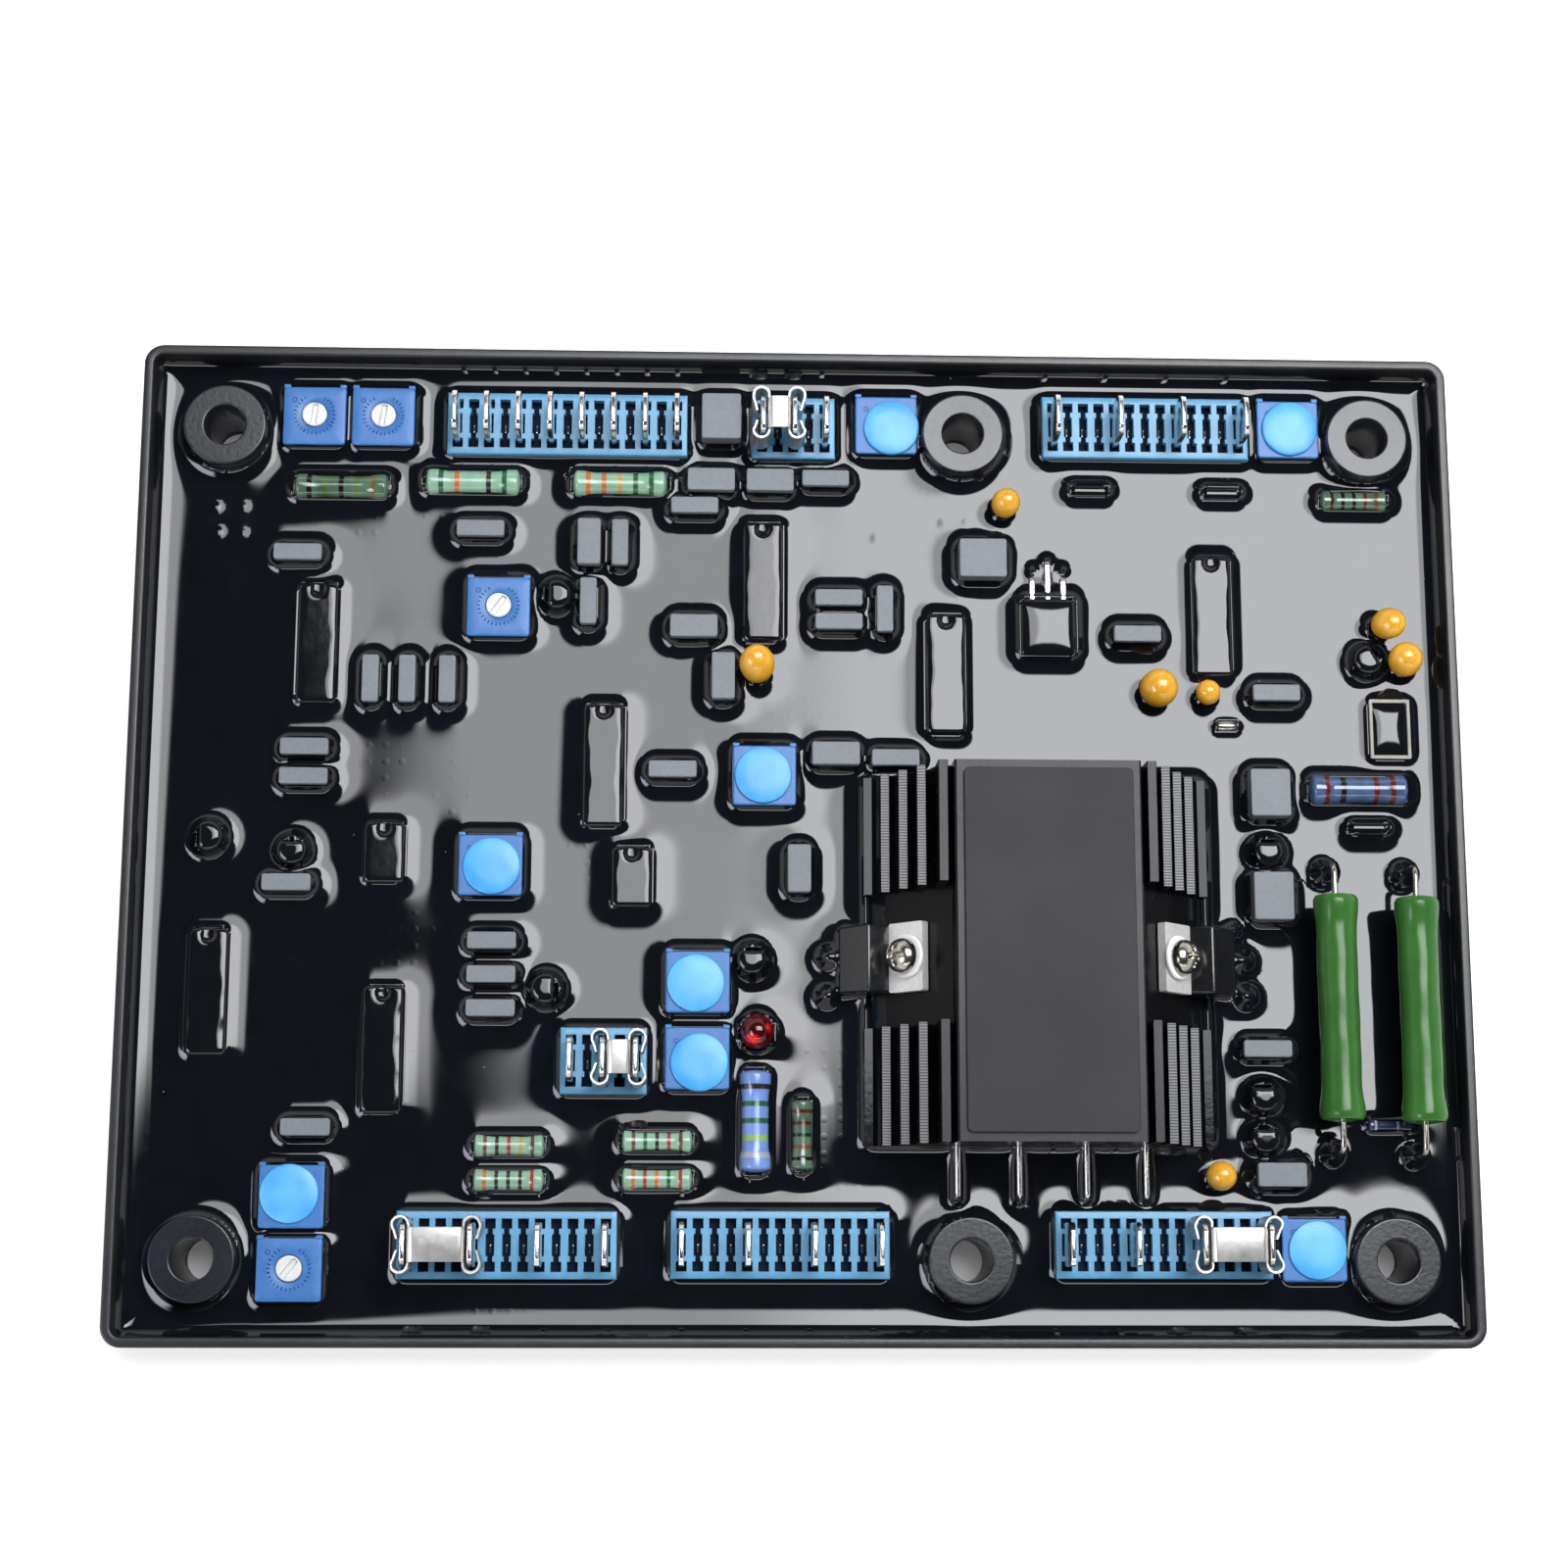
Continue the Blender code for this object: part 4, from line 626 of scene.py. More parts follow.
def makeBoardParts():
    # a diode's r(u) is its radius, drawn in by a quarter ellipse where |u| > 0.8
    for word, kind in films.items():
        blocks = [
            placed(roundedBlock(*kind["size"], level["stand"], kind["top"], 0.14, 0.4), (x, y), z=turn)
            for x, y, turn in kind["places"]
        ]
        makePiece(f"filmCapacitors{word.title()}", blocks, "filmTall" if word == "wide" else "filmGrey",
                  "circuit_board")
    lids = [chipSurface(chips[kind]["length"], place) for kind in ("long", "short")
            for place in chips[kind]["places"]]
    cases = [smallCase((x, y), turn) for x, y, turn in smallCases["places"]]
    size = diodes["size"]
    u = np.linspace(-1, 1, 13)
    rounded = np.sqrt(np.clip(1 - np.clip((np.abs(u) - 0.8) / 0.205, 0, 1) ** 2, 0, 1))
    for x, y in diodes["places"]:
        cases.append(lying(spun(np.c_[size[0] / 2 * rounded, u * size[1] / 2], 20), (x, y, size[2])))
        cases.append(placed(leadPair(size), (x, y)))
    makePiece("chips", lids, "coatedBlack", "circuit_board", sharp=55)
    makePiece("smallTransistors", cases, "coatedBlack", "circuit_board", sharp=55)
    holes = [ringOutline(boss["width"] / 2 + board["bossGap"], place) for place in bossPlaces]
    around = roundedOutline(*board["half"], board["corner"])
    slab = flatPlate("slab", [around, *holes], board["low"], level["board"])
    makePiece("boardSlab", [slab], "coatedBlack", "circuit_board")
    outlines = [roundedOutline(*numbers) + chips["framed"] for numbers in chips["frame"]]
    ring = flatPlate("frame", outlines, chips["frameLow"], chips["frameHigh"])
    makePiece("chipFrame", [ring], "creamFrame", "circuit_board")


def makeAxials():
    # bodies are spun, then laid down; the stub's r(u) = radius sqrt(1 - u^4)
    for kind in ("large", "small", "mini"):
        group = axials[kind]
        size, bodies, leads = group["size"], {"Smeared": [], "": []}, []
        for index, (x, y, turn, bands) in enumerate(group["places"]):
            body = lying(bandedBody(size, group["base"], bands.split()), (x, y, size[2]), turn)
            bodies["Smeared" if index in group.get("smeared", ()) else ""].append(body)
            leads.append(placed(leadPair(size), (x, y), z=turn))
        makePiece(f"resistors{kind.title()}", bodies[""], "lacquer", "circuit_board")
        if bodies["Smeared"]:
            makePiece(f"resistorsSmeared{kind.title()}", bodies["Smeared"], "lacquerSmeared",
                      "circuit_board")
        makePiece(f"resistorLeads{kind.title()}", leads, "coatedBlack", "circuit_board")
    group, size = axials["power"], axials["power"]["size"]
    for index, (x, y, turn, bands) in enumerate(group["places"]):
        number, node = index + 1, f"power_resistor_{index + 1}"
        body = lying(bandedBody(size, group["base"], bands.split()), (x, y, size[2]), turn)
        lacquer = "lacquerSmeared" if index in group["smeared"] else "lacquer"
        makePiece(f"powerResistor{number}", [body], lacquer, node)
        makePiece(f"powerResistorLeads{number}", [placed(leadPair(size), (x, y), z=turn)], "coatedBlack",
                  node)
    size = strayStub["size"]
    u = np.linspace(-1, 1, 9)
    stub = spun(np.c_[size[0] / 2 * np.sqrt(np.clip(1 - u**4, 0, 1)), u * size[1] / 2], 14)
    makePiece("strayStub", [lying(stub, (*strayStub["place"], size[2]))], "platedSteel", "circuit_board")


makeBoardParts()
makeAxials()
print("board parts made")


# Trimmers: a square body, then a slotted rotor in a recess or a round seal
trimmer = {"side": 9.53, "corner": 0.5, "edge": 0.22, "top": 12.3, "well": 2.02, "wellDepth": 1.4,
           # the back face stands back between two posts, which overlap the body a little
           "recess": 0.4, "post": 1.0, "postHigh": 0.1, "overlap": 0.2}
rotor = {"radius": 1.9, "thick": 1.5, "top": 12.6, "round": 0.25, "slot": 0.38, "slotDeep": 0.55}
ticks = {"inner": 2.75, "outer": 3.25, "wide": 0.14, "count": 26, "start": 120, "stop": 420, "high": 0.03}
# a small ring near one corner of each body, and how deep marks reach into it
mark = {"place": (-3.1, 2.35), "hole": 0.22, "radius": 0.44, "high": 0.02, "deep": 0.2}
seal = {"low": 12.32, "profile": ((4.3, 0), (4.32, 0.25), (4.2, 0.5), (3.95, 0.6), (2, 0.66), (0, 0.68))}
# how far each open rotor's slot is turned, and where each round seal was pressed on
openTrimmers = {1: -6, 2: -8, 4: -35, 11: -40}
sealedTrimmers = {3: (0.8, -0.7), 5: (0.2, -0.2), 6: (-0.2, -0.2), 7: (0.2, -0.4), 8: (-0.3, -0.4),
                  9: (0.3, -0.8), 10: (-0.3, 0.2), 12: (0.4, -0.2)}


def withSides(outline, count=9):
    # the straight sides between the four round corners get evenly spaced points
    corners = outline.reshape(4, -1, 2)
    after = np.roll(corners[:, :1], -1, axis=0)
    t = np.arange(1, count + 1)[:, None] / (count + 1)
    return np.concatenate([corners, corners[:, -1:] * (1 - t) + after * t], axis=1).reshape(-1, 2)


def trimmerBody(hasWell):
    # wall, rounded edge, then rings that pass from the square outline to the round well
    top, half, recess = trimmer["top"], trimmer["side"] / 2, trimmer["recess"]

    def ring(inset, z):
        outline = roundedOutline(half - inset, half - recess / 2 - inset, trimmer["corner"] - inset, 3)
        return atHeight(withSides(outline) - (0, recess / 2), z)

    insets, drops = edgeRound(trimmer["edge"], trimmer["edge"])
    rings = [ring(0, level["stand"])] + [ring(inset, top - drop) for inset, drop in zip(insets, drops)]
    if hasWell:
        square = rings[-1][:, :2]
        circle = trimmer["well"] * square / np.linalg.norm(square, axis=1)[:, None]
        rings += [atHeight(square * (1 - share) + circle * share, z)
                  for share, z in ((0.5, top), (0.97, top), (1.0, top - 0.05))]
        rings.append(atHeight(circle * 0.98, top - trimmer["wellDepth"]))
    else:
        rings.append(ring(trimmer["edge"] + level["flat"], top))
    wide, long = trimmer["post"], recess + trimmer["overlap"]
    post = roundedBlock(wide, long, level["stand"], top + trimmer["postHigh"], 0.1, 0.12)
    return [loft(rings), *[placed(post, (side * (half - wide / 2), half - long / 2)) for side in (-1, 1)]]


def rotorSurface(turn):
    # disc on rings of radius r: z = top - slotDeep where |x| < slot, smoothly stepped
    insets, drops = edgeRound(rotor["round"], rotor["round"])
    radii = np.r_[rotor["radius"], rotor["radius"] - insets]
    radii = np.r_[radii, np.linspace(radii[-1], 0, 16)[1:]]
    drop = np.r_[rotor["thick"], drops, np.zeros(15)]
    points, faces, _ = spun(np.c_[radii, rotor["top"] - drop], 96)
    step = np.clip((rotor["slot"] - np.abs(points[:, 0])) / 0.08 + 0.5, 0, 1)
    step = step * (np.hypot(points[:, 0], points[:, 1]) < rotor["radius"] - rotor["round"])
    points[:, 2] -= rotor["slotDeep"] * step * (points[:, 2] > rotor["top"] - 1)
    return placed((points, faces, None), (0, 0), z=turn)


def tickMarks():
    # short raised strokes along radii round the rotor, open towards +Y
    inner, outer, top = ticks["inner"], ticks["outer"], trimmer["top"]
    stroke = roundedBlock(outer - inner, ticks["wide"], top - mark["deep"], top + ticks["high"], 0.02, 0.05,
                          steps=2)
    stroke = placed(stroke, ((inner + outer) / 2, 0))
    angles = np.linspace(ticks["start"], ticks["stop"], ticks["count"])
    return [placed(stroke, (0, 0), z=angle) for angle in angles]


def ringMark():
    # a flat ring, its section a rectangle between the two radii
    low, high = trimmer["top"] - mark["deep"], trimmer["top"] + mark["high"]
    section = [(mark["hole"], low), (mark["radius"], low), (mark["radius"], high), (mark["hole"], high)]
    return placed(spun(section, 20, closed=True), mark["place"])


def makeTrimmers():
    # a body with its marks at each CAD node, and a rotor or a domed seal on it
    def make(name, surfaces, look, node, shift=(0, 0), body="unit"):
        place = middle(node)[:2] + shift
        makePiece(name, [placed(surface, place) for surface in surfaces], look, node, body)

    for number, turn in openTrimmers.items():
        node = f"trimmer_{number}"
        make(f"trimmerBody{number}", trimmerBody(True), "trimmerBlue", node)
        make(f"trimmerTicks{number}", [*tickMarks(), ringMark()], "tickBlue", node)
        make(f"rotor{number}", [rotorSurface(turn)], "rotorWhite", f"trimmer_rotor_{number}",
             body=f"rotor_{number}")
    dome = [(radius, seal["low"] + high) for radius, high in seal["profile"]]
    for number, shift in sealedTrimmers.items():
        node = f"trimmer_{number}"
        make(f"trimmerBody{number}", trimmerBody(False), "trimmerBlue", node)
        make(f"trimmerMark{number}", [ringMark()], "tickBlue", node)
        make(f"seal{number}", [spun(dome, 48)], "sealBlue", f"trimmer_seal_{number}", shift)


makeTrimmers()
print("trimmers made")


# Terminal strips: slotted housings, with tinned tabs in some slots
strip = {"width": 9.8, "top": 12.1, "deep": 3.0, "pitch": 2.4, "margin": 1.6, "edge": 0.25, "wall": 0.08,
         # half lengths along the slot at which its width changes, and the widths outwards from the middle
         "steps": (1.55, 2.4, 3.8), "widths": (1.2, 0.72, 1.5)}
# a dark block inside each housing, painted shade for the deep slots: past the end slots, and its length and
# heights
slotShadeBlock = {"past": 2.2, "long": 8.2, "low": 7.5, "high": 10.2}
# slots in each strip and which of them hold a tab
strips = {1: (15, range(0, 15, 2)), 2: (5, (0, 2, 4)), 3: (13, (0, 4, 8, 12)), 4: (5, (0, 2, 4)),
          5: (13, (0, 4, 8, 12)), 6: (13, (0, 4, 8, 12)), 7: (13, (0, 4, 8, 12))}
# narrows and thins: insets of a tab's half width and half thickness at six heights, foot to top
tab = {"width": 6.3, "thick": 0.8, "top": 19.7, "tip": 1.2, "low": 8.9,
       "narrows": (0, 0, 0.25, 0.75, 1.15, 1.35), "thins": (0, 0, 0.02, 0.05, 0.08, 0.15)}
glint = {"long": 1.3, "wide": 0.34, "low": 9.95, "top": 10.75, "offset": -0.5}


def stepAt(value, half, wall=0.08):
    # 1 inside +-half and 0 outside, over a wall of that width
    return np.clip((half + wall / 2 - np.abs(value)) / wall, 0, 1)


def stripCentre(number):
    # the middle of a strip's CAD node, seen from above
    return middle(f"terminal_strip_{number}")[:2]


def slotX(slots, index):
    # how far a slot lies from its strip's middle
    return (np.asarray(index) - (slots - 1) / 2) * strip["pitch"]


def stepLines(numbers):
    # grid lines on both sides of each step in a wall
    return np.sort(np.r_[numbers + strip["wall"] / 2, numbers - strip["wall"] / 2])


def housing(slots):
    # z = top - deep where the slot is: wide at both ends, then a neck, then a wider middle
    edge, wall = strip["edge"], strip["wall"]
    half, side = (slots - 1) * strip["pitch"] / 2 + strip["margin"], strip["width"] / 2
    offsets = slotX(slots, range(slots))
    across, along = stepLines(np.array(strip["widths"]) / 2), stepLines(np.array(strip["steps"]))
    xs = np.sort((offsets[:, None] + np.r_[-across[::-1], across]).ravel())
    xs = np.r_[-half, -half + wall, -half + edge, xs, half - edge, half - wall, half]
    ys = np.r_[-side, -side + wall, -side + edge, -along[::-1], along, side - edge, side - wall, side]

    def height(x, y):
        near = np.min(np.abs(x[..., None] - offsets), axis=-1)
        core, neck, ends = [stepAt(y, step) for step in strip["steps"]]
        zones = (core, neck * (1 - core), ends * (1 - neck))
        cut = np.max([stepAt(near, wide / 2) * zone for wide, zone in zip(strip["widths"], zones)], axis=0)
        inside = np.minimum(half - np.abs(x), side - np.abs(y)) / edge
        fall = 1 - np.clip(inside, 0, 1)
        return strip["top"] - strip["deep"] * cut - edge * (1 - np.sqrt(1 - fall**2))

    return reliefBlock(xs, ys, height, level["stand"])


def tabSurface():
    # rings up the tab: half width and half thickness shrink over the tip
    top, tip = tab["top"], tab["tip"]
    heights = [tab["low"], top - tip, top - tip * 0.6, top - tip * 0.25, top - 0.08, top]
    halves = tab["width"] / 2 - np.array(tab["narrows"])
    thin = tab["thick"] / 2 - np.array(tab["thins"])
    return loft([atHeight(roundedOutline(t, h, min(t * 0.6, 0.12), 2), z)
                 for h, t, z in zip(halves, thin, heights)])


def makeStrips():
    # a housing, a dark block in it as painted shade in the slots, and a tab or a small contact in each slot
    contact = roundedBlock(glint["wide"], glint["long"], glint["low"], glint["top"], 0.12, 0.16)
    for number, (slots, tabs) in strips.items():
        node, centre = f"terminal_strip_{number}", stripCentre(number)
        makePiece(f"stripHousing{number}", [placed(housing(slots), centre)], "stripBlue", node,
                  sharp=30)
        long = (slots - 1) * strip["pitch"] + slotShadeBlock["past"]
        slab = roundedBlock(long, slotShadeBlock["long"], slotShadeBlock["low"], slotShadeBlock["high"], 0.05)
        makePiece(f"stripSlotShade{number}", [placed(slab, centre)], "paintedSlotShade", node)
        surfaces = [placed(tabSurface(), centre + (slotX(slots, index), 0)) for index in tabs]
        surfaces += [placed(contact, centre + (slotX(slots, index), glint["offset"]))
                     for index in range(slots) if index not in tabs]
        makePiece(f"stripTabs{number}", surfaces, "tinned", node)


makeStrips()
print("strips made")


# Shorting links: a bridge folded down at both ends and curled round two tabs
link = {"sheet": 0.4, "wide": 4.9, "high": 6.2, "curl": 1.2, "sweep": 215, "in": 0.4, "gap": 0.3, "tail": 1.6,
        "bend": 0.7, "shoulder": 1.6, "sunk": 0.45}
# strip, and the slots of the two tabs
links = {1: (2, 0, 2), 2: (4, 2, 4), 3: (5, 0, 4), 4: (7, 8, 12)}
# the middle of the sheet from the middle of its tab
linkFlat = tab["thick"] / 2 + link["gap"] + link["sheet"] / 2


def sheetAlong(path, low, high, sheet, drop=0.0):
    # a ribbon of that thickness standing on a plan path: offsets +-sheet/2 along the path's normal;
    # drop lowers the top edge at each point of the path
    tangent = np.gradient(path, axis=0)
    tangent /= np.linalg.norm(tangent, axis=1)[:, None]
    normal = np.c_[tangent[:, 1], -tangent[:, 0]]
    loop = np.vstack([path + normal * sheet / 2, (path - normal * sheet / 2)[::-1]])
    drop = np.broadcast_to(drop, len(path))
    drop = np.r_[drop, drop[::-1]]
    edges = [(low, 0, 0.85), (low + 0.08, 0, 1.0), (high - 0.12, 1, 1.0), (high, 1, 0.45)]
    centreLine = np.vstack([path, path[::-1]])
    rings = [np.c_[centreLine + (loop - centreLine) * s, z - drop * upper] for z, upper, s in edges]
    return loft(rings)


def receptaclePath(side):
    # a flat beside the tab that curls round and over both of its edges
    cx, cy = linkFlat - link["curl"], tab["width"] / 2 - link["in"]
    a = np.radians(np.linspace(0, link["sweep"], 15))
    curl = np.c_[cx + link["curl"] * np.cos(a), cy + link["curl"] * np.sin(a)]
    curl = np.vstack([curl, (-linkFlat, link["tail"] / 2)])
    flat = np.c_[np.full(5, linkFlat), np.linspace(cy, -cy, 7)[1:-1]]
    return np.vstack([curl[::-1], flat, curl * (1, -1)]) * (side, 1)


def makeLinks():
    # the bridge is a sheet along a bent section in X and Z, with a curled sheet round each tab
    top = tab["top"] + link["gap"] + link["sheet"]
    low, bridgeTop = top - link["high"], top - link["sheet"] / 2
    for number, (stripNumber, first, second) in links.items():
        x, y = stripCentre(stripNumber)
        left, right = x + slotX(strips[stripNumber][0], (first, second))
        corners = [(left + linkFlat, 0, low + 1), (left + linkFlat, 0, bridgeTop),
                   (right - linkFlat, 0, bridgeTop), (right - linkFlat, 0, low + 1)]
        route = bentPath(corners, link["bend"], 6)
        points, faces, _ = sheetAlong(route[:, [0, 2]], -link["wide"] / 2, link["wide"] / 2, link["sheet"])
        sheets = [(points[:, [0, 2, 1]] + (0, y, 0), [face[::-1] for face in faces], None)]
        for side, spot in ((1, left), (-1, right)):
            path = receptaclePath(side)
            out = np.abs(path[:, 1]) / (tab["width"] / 2 - link["in"])
            drop = link["shoulder"] * np.clip(1.15 - out, 0, 0.6) / 0.6
            sheets.append(placed(sheetAlong(path, low, top - link["sunk"], link["sheet"], drop), (spot, y)))
        makePiece(f"shortingLink{number}", sheets, "linkTin", f"shorting_link_{number}")


makeLinks()
print("links made")


# Heat sink: one extruded section, its fins milled away across the middle
sink = {"x": 35.5, "front": -46.0, "long": 55.0, "top": 28.0, "plateau": 13.6, "shoulder": 22.8,
        "slope": 46.0, "half": 27.5, "foot": 9.5, "channel": 18.0, "roof": 12.6, "fin": 1.4, "chamfer": 0.1,
        "edge": 0.3, "seatLong": 20.0, "seatMiddle": -18.7, "seatDeep": 0.2,
        # each fin's middle and top
        "fins": ((15.2, 27.6), (18.0, 23.0), (20.4, 19.0), (22.8, 15.2), (25.2, 12.2))}


def slopeHeight(offset):
    # z = shoulder - (offset - plateau) tan(slope)
    return sink["shoulder"] - (offset - sink["plateau"]) * math.tan(math.radians(sink["slope"]))


def sinkSection(milled):
    # half section from the channel out and back over the fins; milled puts the fins on the slope
    footIn = sink["plateau"] + (sink["shoulder"] - sink["foot"]) / math.tan(math.radians(sink["slope"]))
    points = [(sink["channel"], sink["roof"]), (sink["channel"], level["stand"]),
              (sink["half"], level["stand"]), (sink["half"], sink["foot"]), (footIn, sink["foot"])]
    cut, deep, edge = sink["chamfer"], sink["seatDeep"], sink["plateau"]
    for offset, top in sink["fins"][::-1]:
        a, b = offset - sink["fin"] / 2, offset + sink["fin"] / 2
        if milled:
            points += [(s, slopeHeight(s) - deep) for s in np.linspace(b, a, 6)]
        else:
            points += [(b, slopeHeight(b)), (b, top - cut), (b - cut, top), (a + cut, top), (a, top - cut),
                       (a, slopeHeight(a))]
    points += [(edge, sink["shoulder"] - deep * milled), (edge, sink["top"] - sink["edge"]),
               (edge - sink["edge"], sink["top"])]
    right = np.array(points)
    return np.vstack([right, (right * (-1, 1))[::-1]])


def makeSink():
    # the section at each y: plain, then milled over the seats' length, then plain again
    start, stop = sink["seatMiddle"] - sink["seatLong"] / 2, sink["seatMiddle"] + sink["seatLong"] / 2
    lines = [(sink["front"], False), (start, False), (start + 0.05, True), (stop - 0.05, True), (stop, False),
             (sink["front"] + sink["long"], False)]
    rings = []
    for y, milled in lines:
        section = sinkSection(milled)
        rings.append(np.c_[section[:, 0] + sink["x"], np.full(len(section), y), section[:, 1]])
    makePiece("heatSink", [loft(rings[::-1])], "anodised", "heat_sink", sharp=25)


# worn tops above that height, with saw lines between two distances from the sink's middle
sawn = {"above": 13.5, "lines": 750.0, "near": 16.8, "far": 24.0,
        "dark": (50, 50, 54), "low": (64, 65, 67), "high": (128, 129, 132)}


def wearAnodised():
    # black over the flanks; worn grey on faces that look up, with fine saw lines on three middle fins
    tree = finish["anodised"].node_tree
    base = tree.nodes["Principled BSDF"].inputs["Base Color"]
    spot = objectSpot(tree)
    x, _, z = axes(tree, spot)
    up = axes(tree, tree.nodes.new("ShaderNodeNewGeometry").outputs["Normal"])[2]
    high = spread(tree, z, sawn["above"] * metre, (sawn["above"] + 0.3) * metre)
    bare = calc(tree, "MULTIPLY", spread(tree, up, 0.9, 0.98), high)
    lines = addNode(tree, "ShaderNodeTexWave", {
        "Vector": spot, "Scale": sawn["lines"], "Distortion": 0.8, "Detail": 1.0}, bands_direction="Y")["Fac"]
    away = calc(tree, "ABSOLUTE", calc(tree, "SUBTRACT", x, sink["x"] * metre))
    between = calc(tree, "MULTIPLY", calc(tree, "GREATER_THAN", away, sawn["near"] * metre),
                   calc(tree, "LESS_THAN", away, sawn["far"] * metre))
    grey = mixColour(tree, lines, linear(sawn["low"]), linear(sawn["high"]))
    worn = mixColour(tree, between, linear(sawn["dark"]), grey)
    tree.links.new(mixColour(tree, bare, base.links[0].from_socket, worn), base)


def makePlate():
    # as long and wide as its CAD node, with a rounded top edge
    centre, size = middle("name_plate"), extent("name_plate")
    block = roundedBlock(size[0], size[1], centre[2] - 0.25, centre[2] + 0.25, 0.12, 0.8)
    makePiece("namePlate", [placed(block, centre[:2])], "plateBlack", "name_plate")


wearAnodised()
makeSink()
makePlate()
print("heat sink made")


# Power transistors on the milled seats, with washer and screw
power = {"start": 16.7, "width": 10.2, "caseLong": 8.6, "caseHigh": 4.6, "tabLong": 6.1, "tabThick": 1.3,
         "hole": 2.6, "holeRadius": 1.75, "gap": 0.3, "slant": 1.5, "endSlant": 1.1, "overlap": 0.4}
screw = {"head": 5.2, "high": 2.1, "rim": 0.25, "recess": 0.9, "shank": 2.9, "under": 2.0, "arm": 0.32,
         "reach": 1.45}
washer = {"width": 6.4, "hole": 1.8, "thick": 0.6, "edge": 0.15}


def onSlope(surface, side):
    # local X runs down the seat from the tab's end, Z is the seat's normal
    z = slopeHeight(power["start"]) - sink["seatDeep"] / math.cos(math.radians(sink["slope"]))
    tilted = placed(surface, (power["start"], 0, z), y=sink["slope"])
    return placed(tilted, (sink["x"], sink["seatMiddle"]), z=0 if side > 0 else 180)


def screwSurface(low):
    # dome z = low + rim + (high - rim) sqrt(1 - (r / R)^2.4), less a cross where |x| or |y| < arm
    # and the other one < reach
    radius, rim, shank, foot = screw["head"] / 2, screw["rim"], screw["shank"] / 2, low - screw["under"]
    r = np.r_[np.linspace(1, 0.9, 4), np.linspace(0.88, 0, 22)] * radius
    z = low + rim + (screw["high"] - rim) * np.sqrt(np.clip(1 - (r / radius) ** 2.4, 0, 1))
    profile = np.vstack([[(0, foot), (shank, foot), (shank, low), (radius, low)], np.c_[r, z]])
    points, faces, _ = spun(profile, 64)
    x, y = points[:, 0], points[:, 1]
    cross = np.maximum(*[stepAt(thin, screw["arm"], 0.15) * stepAt(long, screw["reach"], 0.3)
                         for thin, long in ((x, y), (y, x))])
    points[:, 2] -= screw["recess"] * cross * (points[:, 2] > low + 1)
    return points, faces, None


def powerCase():
    # the face towards the tab leans back, and the far end a little, both in proportion to height
    gap, thick, high = power["gap"], power["tabThick"], power["caseHigh"]
    points, faces, _ = roundedBlock(power["caseLong"], power["width"], gap, gap + high, 0.3, 0.5, 0.12)
    up = np.clip((points[:, 2] - gap - thick) / (high - thick), 0, 1)
    share = 0.5 - points[:, 0] / power["caseLong"]
    points[:, 0] += up * (power["slant"] * share - power["endSlant"] * (1 - share))
    return placed((points, faces, None), (power["tabLong"] + power["caseLong"] / 2, 0))


def makePowerDevices():
    # each is built level, one above the other with gaps, then laid on both slopes
    gap, spot = power["gap"], (power["hole"], 0)
    half = (power["tabLong"] + power["overlap"]) / 2
    outline = roundedOutline(half, power["width"] / 2, 0.3) + (half, 0)
    low = gap + power["tabThick"] + gap
    high, r, edge, hole = low + washer["thick"], washer["width"] / 2, washer["edge"], washer["hole"]
    ring = [(hole, low), (r - edge, low), (r, low + edge), (r, high - edge), (r - edge, high), (hole, high)]
    for side, word in ((-1, "left"), (1, "right")):
        plate = flatPlate("tab", [outline, ringOutline(power["holeRadius"], spot, 32)], gap,
                          gap + power["tabThick"])
        for name, surface, look, node, slot in (
                ("powerCase", powerCase(), "blackCase", "power_transistor", "module"),
                ("powerTab", plate, "tabMetal", "power_transistor", "module"),
                ("washer", placed(spun(ring, 48, closed=True), spot), "nylonWhite", "clamp_washer", "nylon"),
                ("screw", placed(screwSurface(high + gap), spot), "platedSteel", "clamp_screw", "steel")):
            makePiece(name + word.title(), [onSlope(surface, side)], look, f"{node}_{word}")


# Power module under the sink, with four bare leads that bend down in front of it
module = {"y": -18.5, "long": 50.0, "top": 12.3, "leads": (-12.1, -3.0, 7.0, 15.8), "lead": 0.9,
          "leadHigh": 11.5, "leadStart": -42.0, "leadReach": 7.5, "bend": 1.2}


def makeModule():
    # a block as long across as its CAD node, and one bent wire repeated for each lead
    block = roundedBlock(extent("power_module")[0], module["long"], level["stand"], module["top"], 0.4, 0.6)
    makePiece("powerModule", [placed(block, (sink["x"], module["y"]))], "blackCase", "power_module")
    high, end = module["leadHigh"], sink["front"] - module["leadReach"]
    route = bentPath([(0, module["leadStart"], high), (0, end, high), (0, end, level["stand"])],
                     module["bend"])
    wire = tube(route, module["lead"] / 2, (1, 0, 0), 12)
    wires = [placed(wire, (sink["x"] + offset, 0)) for offset in module["leads"]]
    makePiece("moduleLeads", wires, "tinned", "power_module")


makePowerDevices()
makeModule()
print("power devices made")


# Green wirewound resistors: an uneven vitreous coat over a dog-bone body
wirewound = {"half": 17.0, "radius": 3.35, "waist": 2.95, "uneven": 0.009, "axis": 18.0, "lead": 0.9,
             "leadFrom": 16.0, "reach": 4.2, "bend": 1.6}


